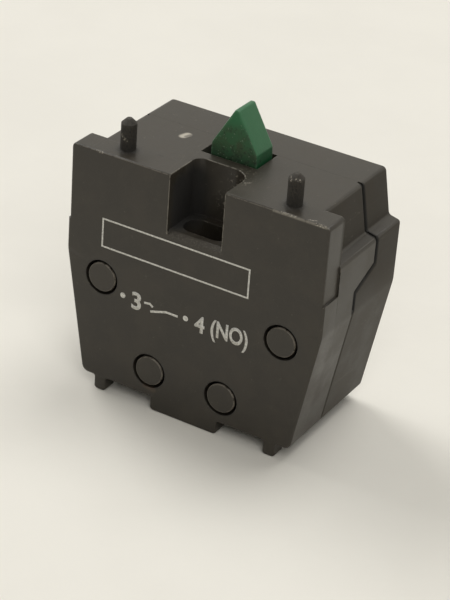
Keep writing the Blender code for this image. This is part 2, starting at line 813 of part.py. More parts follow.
# Springs
return_spring = helix(
    "return_coil",
    RETURN_DIAMETER,
    RETURN_WIRE,
    RETURN_TURNS,
    FLOOR + STACK_GAP,
    SILL_LOW - STACK_GAP,
    (0, CONTACT_PLANE),
)
part(return_spring, "return_spring", SPRING_STEEL, (0, CONTACT_PLANE, FLOOR))
contact_spring = helix(
    "contact_coil",
    CONTACT_DIAMETER,
    CONTACT_WIRE,
    CONTACT_TURNS,
    BRIDGE_TOP + STACK_GAP,
    WINDOW_TOP - STACK_GAP,
    (0, CONTACT_PLANE),
)
part(contact_spring, "contact_spring", SPRING_STEEL, (0, CONTACT_PLANE, WINDOW_TOP))

# Moving bridge with two riveted silver tips
bridge_axis = (0, CONTACT_PLANE, BRIDGE_LOW)
half_bridge = BRIDGE_LENGTH / 2
bridge = extruded(
    "bridge",
    rounded(
        [
            (-half_bridge, CONTACT_PLANE - BRIDGE_WIDTH / 2, BRIDGE_WIDTH / 4),
            (half_bridge, CONTACT_PLANE - BRIDGE_WIDTH / 2, BRIDGE_WIDTH / 4),
            (half_bridge, CONTACT_PLANE + BRIDGE_WIDTH / 2, BRIDGE_WIDTH / 4),
            (-half_bridge, CONTACT_PLANE + BRIDGE_WIDTH / 2, BRIDGE_WIDTH / 4),
        ]
    ),
    BRIDGE_LOW,
    BRIDGE_TOP,
    "Z",
)
tip_radius = TIP_DIAMETER / 2
rivet_radius = RIVET_DIAMETER / 2
for side, sign in (("left", -1), ("right", 1)):
    tip_place = (sign * TIP_SPACING / 2, CONTACT_PLANE, 0)
    rivet_hole = rod(
        f"bridge_hole_{side}",
        RIVET_DIAMETER + 2 * RIVET_GAP,
        BRIDGE_LOW - CUT_PAST,
        BRIDGE_TOP + CUT_PAST,
        tip_place,
        "Z",
        SMALL_SIDES,
    )
    cut(bridge, rivet_hole)
    moving_tip = turned(
        f"moving_rivet_{side}",
        [
            (0, BRIDGE_TOP),
            (rivet_radius, BRIDGE_TOP),
            (rivet_radius, BRIDGE_LOW - STACK_GAP / 2),
            (tip_radius, BRIDGE_LOW - STACK_GAP / 2),
            (tip_radius, MOVING_TIP_LOW + TIP_HEIGHT / 3),
            (TIP_FLAT * tip_radius, MOVING_TIP_LOW),
            (0, MOVING_TIP_LOW),
        ],
        tip_place,
        SMALL_SIDES,
    )
    part(moving_tip, f"moving_tip_{side}", SILVER, bridge_axis)
part(bridge, "contact_bridge", BRASS, bridge_axis)

# Fixed contacts: terminal plate, riser and arm in one strip, with a riveted tip
arm_inner = TIP_SPACING / 2 - ARM_REACH
for side, sign in (("left", -1), ("right", 1)):
    strip = box(
        f"terminal_plate_{side}",
        sorted((sign * STRIP_INNER, sign * STRIP_OUTER)),
        (TERMINAL_FRONT + SEAT_GAP, INNER_REAR - SEAT_GAP),
        (STRIP_LOW, STRIP_TOP),
    )
    arm = extruded(
        f"contact_arm_{side}",
        [
            (sign * STRIP_INNER, STRIP_LOW + JOIN),
            (sign * (STRIP_INNER + STRIP_THICKNESS), STRIP_LOW + JOIN),
            (sign * (STRIP_INNER + STRIP_THICKNESS), ARM_TOP),
            (sign * arm_inner, ARM_TOP),
            (sign * arm_inner, ARM_LOW),
            (sign * STRIP_INNER, ARM_LOW),
        ],
        CONTACT_PLANE - ARM_WIDTH / 2,
        CONTACT_PLANE + ARM_WIDTH / 2,
        "Y",
    )
    screw_place = (sign * TERMINAL_AXIS, TERMINAL_MIDDLE, 0)
    tip_place = (sign * TIP_SPACING / 2, CONTACT_PLANE, 0)
    tapped_hole = rod(
        f"tapped_hole_{side}",
        TERMINAL_SHANK + 2 * STACK_GAP,
        STRIP_LOW - CUT_PAST,
        STRIP_TOP + CUT_PAST,
        screw_place,
        "Z",
    )
    rivet_hole = rod(
        f"arm_hole_{side}",
        RIVET_DIAMETER + 2 * RIVET_GAP,
        ARM_LOW - CUT_PAST,
        ARM_TOP + CUT_PAST,
        tip_place,
        "Z",
        SMALL_SIDES,
    )
    join(strip, arm)
    cut(strip, tapped_hole, rivet_hole)
    part(strip, f"fixed_contact_{side}", BRASS)
    fixed_tip = turned(
        f"fixed_rivet_{side}",
        [
            (0, FIXED_TIP_TOP),
            (TIP_FLAT * tip_radius, FIXED_TIP_TOP),
            (tip_radius, FIXED_TIP_TOP - TIP_HEIGHT / 3),
            (tip_radius, ARM_TOP + STACK_GAP / 2),
            (rivet_radius, ARM_TOP + STACK_GAP / 2),
            (rivet_radius, ARM_LOW),
            (0, ARM_LOW),
        ],
        tip_place,
        SMALL_SIDES,
    )
    part(fixed_tip, f"fixed_tip_{side}", SILVER)

    # Clamp screw with a lock washer and a saddle, moving together
    clamp_axis = (sign * TERMINAL_AXIS, TERMINAL_MIDDLE, TERMINAL_HEAD_LOW)
    head_radius = TERMINAL_HEAD / 2
    shank_radius = TERMINAL_SHANK / 2
    screw = turned(
        f"clamp_screw_{side}",
        [
            (0, STRIP_TOP + TERMINAL_REACH),
            (shank_radius - EDGE_ROUND, STRIP_TOP + TERMINAL_REACH),
            (shank_radius, STRIP_TOP + TERMINAL_REACH - EDGE_ROUND),
            (shank_radius, TERMINAL_HEAD_TOP),
            (head_radius, TERMINAL_HEAD_TOP),
            (head_radius, TERMINAL_HEAD_LOW + 2 * EDGE_ROUND),
            (head_radius - 2 * EDGE_ROUND, TERMINAL_HEAD_LOW),
            (0, TERMINAL_HEAD_LOW),
        ],
        screw_place,
    )
    for direction, reach in (("long", (DRIVE_LONG, 0)), ("cross", (0, DRIVE_CROSS))):
        wide = max(reach[0] * head_radius, DRIVE_SLOT / 2)
        deep = max(reach[1] * head_radius, DRIVE_SLOT / 2)
        drive = box(
            f"clamp_drive_{direction}_{side}",
            (clamp_axis[0] - wide, clamp_axis[0] + wide),
            (clamp_axis[1] - deep, clamp_axis[1] + deep),
            (TERMINAL_HEAD_LOW - CUT_PAST, TERMINAL_HEAD_LOW + DRIVE_DEPTH),
        )
        cut(screw, drive)
    part(screw, f"terminal_screw_{side}", ZINC_STEEL, clamp_axis)
    washer = rod(
        f"washer_{side}",
        WASHER_DIAMETER,
        WASHER_LOW,
        WASHER_LOW + WASHER_THICKNESS,
        screw_place,
        "Z",
    )
    washer_hole = rod(
        f"washer_hole_{side}",
        TERMINAL_SHANK + 2 * STACK_GAP,
        WASHER_LOW - CUT_PAST,
        WASHER_LOW + WASHER_THICKNESS + CUT_PAST,
        screw_place,
        "Z",
    )
    cut(washer, washer_hole)
    part(washer, f"lock_washer_{side}", ZINC_STEEL, clamp_axis)
    saddle_half = min(STRIP_OUTER - TERMINAL_AXIS, TERMINAL_AXIS - STRIP_INNER)
    saddle_top = SADDLE_LOW + SADDLE_THICKNESS
    saddle = extruded(
        f"saddle_{side}",
        [
            (TERMINAL_MIDDLE - SADDLE_REACH, SADDLE_LOW - SADDLE_LIP),
            (TERMINAL_MIDDLE - SADDLE_REACH + SADDLE_LIP, SADDLE_LOW - SADDLE_LIP),
            (TERMINAL_MIDDLE - SADDLE_REACH + SADDLE_LIP, SADDLE_LOW),
            (TERMINAL_MIDDLE + SADDLE_REACH - SADDLE_LIP, SADDLE_LOW),
            (TERMINAL_MIDDLE + SADDLE_REACH - SADDLE_LIP, SADDLE_LOW - SADDLE_LIP),
            (TERMINAL_MIDDLE + SADDLE_REACH, SADDLE_LOW - SADDLE_LIP),
            (TERMINAL_MIDDLE + SADDLE_REACH, saddle_top),
            (TERMINAL_MIDDLE - SADDLE_REACH, saddle_top),
        ],
        sign * TERMINAL_AXIS - saddle_half,
        sign * TERMINAL_AXIS + saddle_half,
        "X",
    )
    saddle_hole = rod(
        f"saddle_hole_{side}",
        TERMINAL_SHANK + 2 * STACK_GAP,
        SADDLE_LOW - CUT_PAST,
        saddle_top + CUT_PAST,
        screw_place,
        "Z",
    )
    cut(saddle, saddle_hole)
    part(saddle, f"clamp_saddle_{side}", ZINC_STEEL, clamp_axis)

# Captive fixing screw, drawn back below the pocket floor
fixing_axis = (0, FIXING_PLACE, FIXING_RECESS)
fixing_tip = POCKET_FLOOR - FIXING_TIP_DROP
fixing_radius = FIXING_HEAD / 2
fixing_shank = FIXING_SHANK / 2
fixing_screw = turned(
    "fixing",
    [
        (0, fixing_tip),
        (fixing_shank - 2 * EDGE_ROUND, fixing_tip),
        (fixing_shank, fixing_tip - 2 * EDGE_ROUND),
        (fixing_shank, FIXING_RECESS + FIXING_HEAD_HEIGHT),
        (fixing_radius, FIXING_RECESS + FIXING_HEAD_HEIGHT),
        (fixing_radius, FIXING_RECESS + EDGE_ROUND),
        (fixing_radius - EDGE_ROUND, FIXING_RECESS),
        (0, FIXING_RECESS),
    ],
    (0, FIXING_PLACE, 0),
)
fixing_drive = box(
    "fixing_drive",
    (-FIXING_HEAD, FIXING_HEAD),
    (FIXING_PLACE - DRIVE_SLOT / 2, FIXING_PLACE + DRIVE_SLOT / 2),
    (FIXING_RECESS - CUT_PAST, FIXING_RECESS + DRIVE_DEPTH),
)
cut(fixing_screw, fixing_drive)
part(fixing_screw, "fixing_screw", ZINC_STEEL, fixing_axis)
retainer = rod(
    "retainer", FIXING_HEAD, retainer_low, retainer_top, (0, FIXING_PLACE, 0), "Z"
)
retainer_hole = rod(
    "retainer_hole",
    FIXING_SHANK + 2 * STACK_GAP,
    retainer_low - CUT_PAST,
    retainer_top + CUT_PAST,
    (0, FIXING_PLACE, 0),
    "Z",
)
cut(retainer, retainer_hole)
part(retainer, "retaining_washer", FIBRE, fixing_axis)

for helper in cutters.objects:
    helper.hide_render = True
    helper.display_type = "WIRE"
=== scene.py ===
"""Looks of a push-button contact block: its plastics, metals, print, coils and threads.

Metres, +Z up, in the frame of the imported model: feet at z = 0, front along -Y.
"""

import json
import math

import bmesh
import bpy
from mathutils import Matrix, Vector


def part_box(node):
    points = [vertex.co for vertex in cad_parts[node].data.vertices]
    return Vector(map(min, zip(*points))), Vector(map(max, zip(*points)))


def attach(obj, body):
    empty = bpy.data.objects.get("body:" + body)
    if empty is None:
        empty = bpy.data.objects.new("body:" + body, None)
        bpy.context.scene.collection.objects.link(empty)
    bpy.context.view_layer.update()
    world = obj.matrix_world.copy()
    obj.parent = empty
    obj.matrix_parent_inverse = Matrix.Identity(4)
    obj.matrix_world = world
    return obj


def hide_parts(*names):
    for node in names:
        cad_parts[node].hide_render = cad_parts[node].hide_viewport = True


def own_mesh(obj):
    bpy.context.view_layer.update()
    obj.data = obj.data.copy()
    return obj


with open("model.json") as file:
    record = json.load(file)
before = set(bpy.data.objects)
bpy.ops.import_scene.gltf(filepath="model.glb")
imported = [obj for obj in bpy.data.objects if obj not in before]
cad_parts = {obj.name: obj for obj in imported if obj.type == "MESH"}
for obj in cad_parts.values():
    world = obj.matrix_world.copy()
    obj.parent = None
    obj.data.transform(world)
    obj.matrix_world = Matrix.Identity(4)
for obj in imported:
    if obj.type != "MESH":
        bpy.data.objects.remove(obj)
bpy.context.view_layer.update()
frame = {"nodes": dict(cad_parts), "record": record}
nodes = frame["nodes"]
body_of = {
    node: body
    for body, members in frame["record"]["behaviour"]["bodies"].items()
    for node in members
}

# Camera, from the corners and pins seen in the photograph
CAMERA_PLACE = (0.0935, -0.1672, 0.1203)
CAMERA_TARGET = (0.00123, -0.00267, 0.0125)
CAMERA_ROLL = 4.35
FOCAL_PIXELS = 2176
IMAGE_HEIGHT = 600
SENSOR = 36
CLIP_START = 0.01

# Light: broad lamps to the left, overhead and in front, each a direction and a power, and a dim room
LAMPS = {
    "left_lamp": ((-0.7, 0.2, 0.68), 1.28),
    "overhead_lamp": ((0.12, 0.36, 0.92), 0.97),
    "front_lamp": ((0.44, -0.55, 0.71), 0.78),
}
LAMP_SOFTNESS = 34
ROOM_LIGHT = 0.22
FLOOR_REACH = 3

# Levels of the housing. Its sides grow duller from SIDE_LOW up to SIDE_HIGH
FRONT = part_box("front_shell")[0].y
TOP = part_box("rear_shell")[1].z
BODY_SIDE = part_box("rear_shell")[1].x
SHOULDER = 0.0221
SIDE_LOW, SIDE_HIGH = 0.014, 0.019
SIDE_BLEND = 0.0004

# Welding and shading: FLAT_ANGLE in radians, SHARP_ANGLE in degrees
WELD = 0.000002
FLAT_ANGLE = 0.002
SHARP_ANGLE = 32
SHEEN = 0.4

# Front plate, which the solids set back by a small step
FLUSH_STEP = 0.00005
FLUSH_REACH = 1.6 * FLUSH_STEP
PLATE_REAR = -0.0048
PLATE_SIDE, PLATE_SIDE_TOP = 0.011, 0.0187

# Seam between the shells: across the top face, down the sides and along the lower walls
TOP_SEAM_END, TOP_SEAM_REACH = -0.01185, 0.0004
TOP_SEAM_FRONT, TOP_SEAM_REAR = 0.0026, 0.00274
TOP_LIP_LOW, TOP_LIP_DEEP = 0.0262, 0.02555
LOW_SEAM_FRONT, LOW_SEAM_REAR, LOW_SEAM_TOP = -0.00126, -0.00115, 0.0152
SIDE_SEAM_FRONT, SIDE_SEAM_REAR = -0.002, 0.004
SIDE_SEAM_LOW, SIDE_SEAM_HIGH = 0.002, 0.0268
SIDE_SEAM_OUT = 0.01235
SEAM_FACING, SIDE_FACING = 0.1, 0.5
SEAM_BEVEL = 0.0002

# Pins and their holes. A pin's flank takes painted shade, growing dark from PIN_SHADE_START to
# PIN_SHADE_END behind the front, and PIN_HOLE_SHADE is the width of the painted shade round each hole
PIN_PLACES = ((-0.0104, 0.0132), (0.0104, 0.0132), (-0.00425, 0.00445), (0.00425, 0.00445))
PIN_HOLE_RADIUS = 0.00168
PIN_HOLE_FLARE = 1.13
PIN_HOLE_SHADE = 0.00025
PIN_RADIUS = 0.0015
PIN_HEAD = 0.0003
PIN_HEAD_RADIUS = 0.0016
PIN_RIM_SHARE = 0.3
PIN_RIM_WEAR_AND_HIGHLIGHT = 0.00014
PIN_SHADE_START, PIN_SHADE_END = 0.00012, 0.00025

# Print on the front face, as (x, z)
INK_PROUD = 0.000012
INK_SUNK = 0.000008
INK_WELD = 0.0000001
LABEL_LEFT, LABEL_RIGHT = -0.0105, 0.0064
LABEL_LOW, LABEL_HIGH = 0.01675, 0.01983
LABEL_LINE = 0.00018
LEFT_DOT, RIGHT_DOT = (-0.00778, 0.01205), (-0.00036, 0.01203)
DOT_RADIUS = 0.0003
DOT_SIDES = 24
LETTER_WEIGHT = 0.026
SIGN_LINE = 0.00024
SIGN_STUB = ((-0.00524, 0.0121), (-0.00455, 0.0122), (-0.0042, 0.01193))
SIGN_BLADE = ((-0.00446, 0.01136), (-0.00264, 0.01192), (-0.00126, 0.01192))

# Lettering: its centre, width and height
LETTERING = (
    ("3", (-0.00616, 0.01194), 0.00112, 0.0020),
    ("4", (0.00128, 0.01194), 0.00118, 0.0019),
    ("(NO)", (0.00469, 0.01182), 0.00425, 0.0025),
)

# Marks on the housing, some of them painted shade: start, end and width of each, in millimetres
RUBBED_LINES = (
    ((-14.4, -7.5, 26.95), (-3.1, -7.5, 26.95), 0.13),
    ((3.1, -7.5, 26.95), (8.4, -7.5, 26.95), 0.13),
    ((8.4, -7.5, 26.95), (14.4, -7.5, 26.95), 0.24),
    ((-3.1, -7.5, 26.97), (-3.1, -3.6, 27.0), 0.1),
    ((-2.0, -2.4, 27.0), (1.2, -2.4, 27.0), 0.1),
    ((1.7, -2.5, 27.0), (2.6, -3.1, 27.0), 0.16),
    ((2.6, -3.1, 27.0), (3.05, -4.2, 27.0), 0.16),
    ((-3.1, -7.5, 20.6), (-3.1, -7.5, 26.9), 0.09),
    ((3.1, -7.5, 20.6), (3.1, -7.5, 26.9), 0.09),
    ((14.7, -7.5, 19.0), (14.5, -7.5, 26.6), 0.09),
)
CHIPS = (
    ((9.2, -7.4, 26.95), (10.6, -7.3, 26.95), 0.22),
    ((12.0, -7.2, 26.95), (12.7, -6.9, 26.95), 0.16),
    ((13.0, -7.4, 26.95), (13.8, -7.4, 26.95), 0.25),
    ((3.4, -4.5, 27.0), (3.9, -4.0, 27.0), 0.12),
    ((3.5, -5.0, 26.95), (3.7, -4.7, 26.95), 0.12),
    ((-11.6, -7.45, 26.95), (-11.0, -7.45, 26.95), 0.2),
    ((9.0, -5.7, 29.9), (9.2, -6.0, 29.75), 0.2),
    ((9.7, -5.9, 29.9), (10.0, -5.7, 29.8), 0.2),
    ((-9.7, -6.0, 28.7), (-9.2, -6.1, 28.2), 0.25),
)
WORN_LINES = (
    ((-14.4, -7.5, 26.97), (-3.1, -7.5, 26.97), 0.1),
    ((3.1, -7.5, 26.97), (14.4, -7.5, 26.97), 0.1),
)
ROUGH_LIP = (((-3.0, -7.25, 20.5), (3.0, -7.25, 20.5), 0.5),)
DENT_RIM = (((-6.72, 0.5, 27.0), (-6.56, 1.1, 27.0), 0.56),)
DENT_FLOOR = (((-6.5, 0.6, 27.0), (-6.32, 1.15, 27.0), 0.22),)
NICKS = (
    ((-6.3, -4.55, 27.0), (-5.8, -4.55, 27.0), 0.09),
    ((2.95, 2.05, 27.0), (3.25, 2.05, 27.0), 0.12),
    ((12.8, -7.5, 26.95), (13.0, -7.4, 26.95), 0.12),
)
# Faint lines of painted shade on the top, along the plate's rear edge
FAINT_LINES = (
    ((-8.2, -4.7, 27.0), (-4.4, -4.7, 27.0), 0.1),
    ((4.4, -4.7, 27.0), (8.2, -4.7, 27.0), 0.1),
)
PEG_STEMS = (
    ((-9.4, -5.3, 28.1), (-9.4, -5.3, 28.9), 2.0),
    ((9.4, -5.3, 28.1), (9.4, -5.3, 28.9), 2.0),
)
# Darker round the foot of each peg: painted contact shade, with soiling
PEG_BASES = (
    ((-9.4, -5.5, 27.0), (-9.2, -5.7, 27.0), 1.5),
    ((9.4, -5.5, 27.0), (9.6, -6.3, 27.0), 1.6),
)
# Painted shade on the pocket's left wall and back-left corner
POCKET_SHADE = (
    ((-3.0, -3.4, 21.6), (-3.0, -3.4, 24.8), 2.6),
    ((-3.0, -5.4, 21.6), (-3.0, -5.4, 24.8), 2.4),
)
# The side seams' dark line: painted shade in the gap between the shells
SEAM_PATH = (
    (12.45, 2.6, 26.95),
    (13.38, 2.6, 22.3),
    (14.55, 2.6, 21.8),
    (14.7, 2.6, 19.0),
    (14.7, -1.2, 17.38),
    (14.7, -1.2, 15.3),
)
SEAM_SHADE_WIDTH = 0.48
SEAM_SHADE_LINES = tuple(
    ((side * start[0], *start[1:]), (side * end[0], *end[1:]), SEAM_SHADE_WIDTH)
    for side in (-1, 1)
    for start, end in zip(SEAM_PATH, SEAM_PATH[1:])
)
SMEARS = (
    ((-4.6, -7.5, 2.6), (-3.6, -7.5, 2.45), 0.45),
    ((-2.2, -7.5, 22.0), (-2.0, -7.5, 22.6), 0.3),
)
POCKET_DUST = (((1.2, -2.4, 23.0), (2.4, -3.0, 26.4), 2.4),)
TOP_SEAM = (((-12.2, 2.7, 27.0), (12.2, 2.7, 27.0), 0.5),)

# Coils and threads
RETURN_COIL = {"Coil Radius": 0.001575, "Wire": 0.00045, "Turns": 7.5, "Length": 0.00905}
RETURN_PLACE = (0, 0.0016, 0.0032)
CONTACT_COIL = {"Coil Radius": 0.00105, "Wire": 0.0003, "Turns": 6.5, "Length": 0.00595}
CONTACT_PLACE = (0, 0.0016, 0.01515)
THREAD_PITCH = 0.0005
THREAD_DEPTH = 0.0001
SHANK_RADIUS = 0.0012
TERMINAL_HEAD_HEIGHT = 0.0016
FIXING_HEAD_HEIGHT = 0.002
COIL_STEPS, WIRE_SIDES = 40, 12
THREAD_STEPS, RIDGE_SIDES = 32, 4


def tone(red, green, blue):
    """A colour given as 0 to 255, in the linear form that sockets take."""
    shares = [value / 255 for value in (red, green, blue)]
    return (*[s / 12.92 if s <= 0.04045 else ((s + 0.055) / 1.055) ** 2.4 for s in shares], 1)


# Colours that more than one mark takes
PALE_WEAR = tone(150, 142, 126)
DARK_DIRT_AND_SHADE = tone(20, 18, 16)
SHADED_PLASTIC = tone(24, 22, 20)


# Shader trees

def add(tree, kind, settings=None, **sockets):
    """Adds a shader node. Each socket takes a value, or another node's output."""
    made = tree.nodes.new(f"ShaderNode{kind}")
    for name, value in (settings or {}).items():
        setattr(made, name, value)
    fill(tree, made, sockets)
    return made


def plug(tree, socket, value):
    """Sets a socket to a value, or links it to another node's output."""
    if isinstance(value, bpy.types.NodeSocket):
        tree.links.new(value, socket)
    else:
        socket.default_value = value


def fill(tree, made, sockets):
    """Plugs a node's named inputs, with _ for each blank in a name."""
    for name, value in sockets.items():
        plug(tree, made.inputs[name.replace("_", " ")], value)


def calculate(tree, operation, first, second=0.0):
    """A sum on two values. Sums and products are held between 0 and 1."""
    made = tree.nodes.new("ShaderNodeMath")
    made.operation = operation
    made.use_clamp = operation in ("ADD", "MULTIPLY")
    for socket, value in zip(made.inputs, (first, second)):
        plug(tree, socket, value)
    return made.outputs["Value"]


def ramp(tree, value, low, high):
    """0 below low, 1 above high, with a soft rise between. Low may be above high."""
    made = add(
        tree, "MapRange", {"interpolation_type": "SMOOTHSTEP"}, Value=value, From_Min=low, From_Max=high
    )
    return made.outputs["Result"]


def span(tree, value, low, high, top):
    """A straight rise from 0 at low to top at high, level on both sides."""
    made = add(tree, "MapRange", Value=value, From_Min=low, From_Max=high, To_Max=top)
    return made.outputs["Result"]


def over(tree, mask, below, above):
    """The colour above, laid over the colour below through a mask."""
    made = tree.nodes.new("ShaderNodeMix")
    made.data_type = "RGBA"
    for index, value in ((0, mask), (6, below), (7, above)):
        plug(tree, made.inputs[index], value)
    return made.outputs[2]


def strongest(tree, masks):
    """The strongest of several masks at each place."""
    whole = masks[0]
    for mask in masks[1:]:
        whole = calculate(tree, "MAXIMUM", whole, mask)
    return whole


def times(tree, first, second):
    """A mask times another mask, or times a plain share."""
    return calculate(tree, "MULTIPLY", first, second)


def metres(lengths):
    """Lengths given in millimetres, in metres."""
    return tuple(length / 1000 for length in lengths)


def effect(name, inputs, outputs):
    """An empty shader group with named sockets: its tree, its inputs and its outputs."""
    tree = bpy.data.node_groups.new(name, "ShaderNodeTree")
    for label, kind, value in inputs:
        socket = tree.interface.new_socket(label, in_out="INPUT", socket_type=f"NodeSocket{kind}")
        socket.default_value = value
    for label in outputs:
        tree.interface.new_socket(label, in_out="OUTPUT", socket_type="NodeSocketFloat")
    given = tree.nodes.new("NodeGroupInput").outputs
    made = tree.nodes.new("NodeGroupOutput").inputs
    return tree, given, made


def use(tree, group, **values):
    """Places a group in a material and returns its outputs."""
    made = tree.nodes.new("ShaderNodeGroup")
    made.node_tree = group
    fill(tree, made, values)
    return made.outputs


def grain_effect():
    """Moulding grain: a fine height and broad, cloudy patches."""
    tree, given, made = effect(
        "moulding_grain",
        [("Fine", "Float", 5000.0), ("Broad", "Float", 300.0)],
        ["Height", "Patches"],
    )
    place = add(tree, "TexCoord").outputs["Object"]
    fine = add(tree, "TexNoise", Vector=place, Scale=given["Fine"], Detail=3.0, Roughness=0.65)
    broad = add(tree, "TexNoise", Vector=place, Scale=given["Broad"], Detail=5.0, Roughness=0.6)
    tree.links.new(fine.outputs[0], made["Height"])
    tree.links.new(ramp(tree, broad.outputs[0], 0.38, 0.66), made["Patches"])
    return tree


def worn_edge_effect():
    """Outer edges, broken up as rubbing leaves them."""
    tree, given, made = effect(
        "worn_edges",
        [("Reach", "Float", 0.0002), ("Break Up", "Float", 1500.0), ("Amount", "Float", 0.5)],
        ["Mask"],
    )
    settings = {"inside": True, "only_local": True, "samples": 6}
    inside = add(tree, "AmbientOcclusion", settings, Distance=given["Reach"])
    edge = ramp(tree, inside.outputs["AO"], 0.98, 0.55)
    place = add(tree, "TexCoord").outputs["Object"]
    noise = add(tree, "TexNoise", Vector=place, Scale=given["Break Up"], Detail=5.0, Roughness=0.7)
    level = calculate(tree, "SUBTRACT", 0.75, times(tree, given["Amount"], 0.5))
    broken = ramp(tree, noise.outputs[0], level, calculate(tree, "ADD", level, 0.14))
    tree.links.new(times(tree, edge, broken), made["Mask"])
    return tree


def corner_dirt_and_shade_effect():
    """Inner corners, found by ambient occlusion: settled soiling, and painted shade where shade falls."""
    tree, given, made = effect(
        "corner_dirt_and_shade",
        [("Reach", "Float", 0.0008), ("Break Up", "Float", 1200.0)],
        ["Mask"],
    )
    outside = add(tree, "AmbientOcclusion", {"only_local": True, "samples": 6}, Distance=given["Reach"])
    corner = ramp(tree, outside.outputs["AO"], 0.92, 0.4)
    place = add(tree, "TexCoord").outputs["Object"]
    noise = add(tree, "TexNoise", Vector=place, Scale=given["Break Up"], Detail=4.0)
    tree.links.new(
        times(tree, corner, ramp(tree, noise.outputs[0], 0.3, 0.6)), made["Mask"]
    )
    return tree


def speck_effect():
    """Scattered specks of uneven size: the higher the level, the fewer are left."""
    tree, given, made = effect("specks", [("Scale", "Float", 2500.0), ("Level", "Float", 0.68)], ["Mask"])
    place = add(tree, "TexCoord").outputs["Object"]
    noise = add(tree, "TexNoise", Vector=place, Scale=given["Scale"], Detail=2.0, Roughness=0.6)
    full = calculate(tree, "ADD", given["Level"], 0.04)
    tree.links.new(ramp(tree, noise.outputs[0], given["Level"], full), made["Mask"])
    return tree


def scratch_effect():
    """Fine straight scratches in two directions."""
    tree, given, made = effect(
        "scratches", [("Scale", "Float", 900.0), ("Width", "Float", 0.004)], ["Mask"]
    )
    place = add(tree, "TexCoord").outputs["Object"]
    lines = []
    for turn in ((0.3, 0.5, 0.35), (1.1, -0.6, 1.2)):
        laid = add(tree, "Mapping", Vector=place, Rotation=turn, Scale=(1.0, 0.05, 1.0))
        noise = add(tree, "TexNoise", Vector=laid.outputs[0], Scale=given["Scale"], Detail=0.0)
        apart = calculate(tree, "ABSOLUTE", calculate(tree, "SUBTRACT", noise.outputs[0], 0.62))
        lines.append(ramp(tree, apart, given["Width"], 0.0))
    tree.links.new(calculate(tree, "ADD", *lines), made["Mask"])
    return tree


def vectors(tree, operation, first, second):
    """A sum on two vectors, which gives a length or a vector."""
    made = tree.nodes.new("ShaderNodeVectorMath")
    made.operation = operation
    tree.links.new(first, made.inputs[0])
    tree.links.new(second, made.inputs[1])
    return made.outputs["Value" if operation in ("DOT_PRODUCT", "DISTANCE") else "Vector"]


def near_line_effect():
    """A soft band along the straight line between two places."""
    tree, given, made = effect(
        "near_line",
        [
            ("Start", "Vector", (0, 0, 0)),
            ("End", "Vector", (0, 0, 0.001)),
            ("Width", "Float", 0.0002),
        ],
        ["Mask"],
    )
    place = add(tree, "TexCoord").outputs["Object"]
    line = vectors(tree, "SUBTRACT", given["End"], given["Start"])
    reach = vectors(tree, "SUBTRACT", place, given["Start"])
    gone = vectors(tree, "DOT_PRODUCT", reach, line)
    share = calculate(tree, "DIVIDE", gone, vectors(tree, "DOT_PRODUCT", line, line))
    along = add(tree, "VectorMath", {"operation": "SCALE"}, Scale=span(tree, share, 0.0, 1.0, 1.0))
    tree.links.new(line, along.inputs[0])
    apart = vectors(tree, "DISTANCE", reach, along.outputs["Vector"])
    tree.links.new(ramp(tree, apart, given["Width"], times(tree, given["Width"], 0.35)), made["Mask"])
    return tree


def ring_effect():
    """A soft ring of a given radius about a place."""
    tree, given, made = effect(
        "soft_ring",
        [("Centre", "Vector", (0, 0, 0)), ("Radius", "Float", 0.0017), ("Width", "Float", 0.0003)],
        ["Mask"],
    )
    place = add(tree, "TexCoord").outputs["Object"]
    apart = vectors(tree, "DISTANCE", place, given["Centre"])
    off = calculate(tree, "ABSOLUTE", calculate(tree, "SUBTRACT", apart, given["Radius"]))
    tree.links.new(ramp(tree, off, given["Width"], 0.0), made["Mask"])
    return tree


def break_up_effect():
    """Holds back parts of a mark: the smaller the cover, the less of it is left."""
    tree, given, made = effect(
        "break_up", [("Scale", "Float", 2000.0), ("Cover", "Float", 0.5)], ["Mask"]
    )
    place = add(tree, "TexCoord").outputs["Object"]
    noise = add(tree, "TexNoise", Vector=place, Scale=given["Scale"], Detail=4.0, Roughness=0.7)
    level = calculate(tree, "SUBTRACT", 0.75, times(tree, given["Cover"], 0.5))
    tree.links.new(ramp(tree, noise.outputs[0], level, calculate(tree, "ADD", level, 0.16)), made["Mask"])
    return tree


GRAIN = grain_effect()
WORN_EDGES = worn_edge_effect()
CORNER_DIRT_AND_SHADE = corner_dirt_and_shade_effect()
SPECKS = speck_effect()
SCRATCHES = scratch_effect()
NEAR_LINE = near_line_effect()
SOFT_RING = ring_effect()
BREAK_UP = break_up_effect()


def finish_material(name):
    """A new material, with its tree and its Principled shader."""
    material = bpy.data.materials.new(name)
    material.use_nodes = True
    tree = material.node_tree
    return material, tree, tree.nodes["Principled BSDF"]


def surface(tree, shader, colour, roughness, height, depth, radius):
    """Wires colour and roughness, a bump of the given depth and softly rounded edges."""
    rounded = add(tree, "Bevel", {"samples": 6}, Radius=radius)
    bump = add(tree, "Bump", Height=height, Distance=depth, Normal=rounded.outputs["Normal"])
    tree.links.new(colour, shader.inputs["Base Color"])
    tree.links.new(roughness, shader.inputs["Roughness"])
    tree.links.new(bump.outputs["Normal"], shader.inputs["Normal"])


def marks(tree, lines):
    """One mask for a list of marks, each a start, an end and a width."""
    return strongest(
        tree,
        [
            use(tree, NEAR_LINE, Start=metres(start), End=metres(end), Width=width / 1000)["Mask"]
            for start, end, width in lines
        ],
    )


def rings(tree, radius, width):
    """One mask for a ring about each pin."""
    return strongest(
        tree,
        [
            use(tree, SOFT_RING, Centre=(x, FRONT, z), Radius=radius, Width=width)["Mask"]
            for x, z in PIN_PLACES
        ],
    )


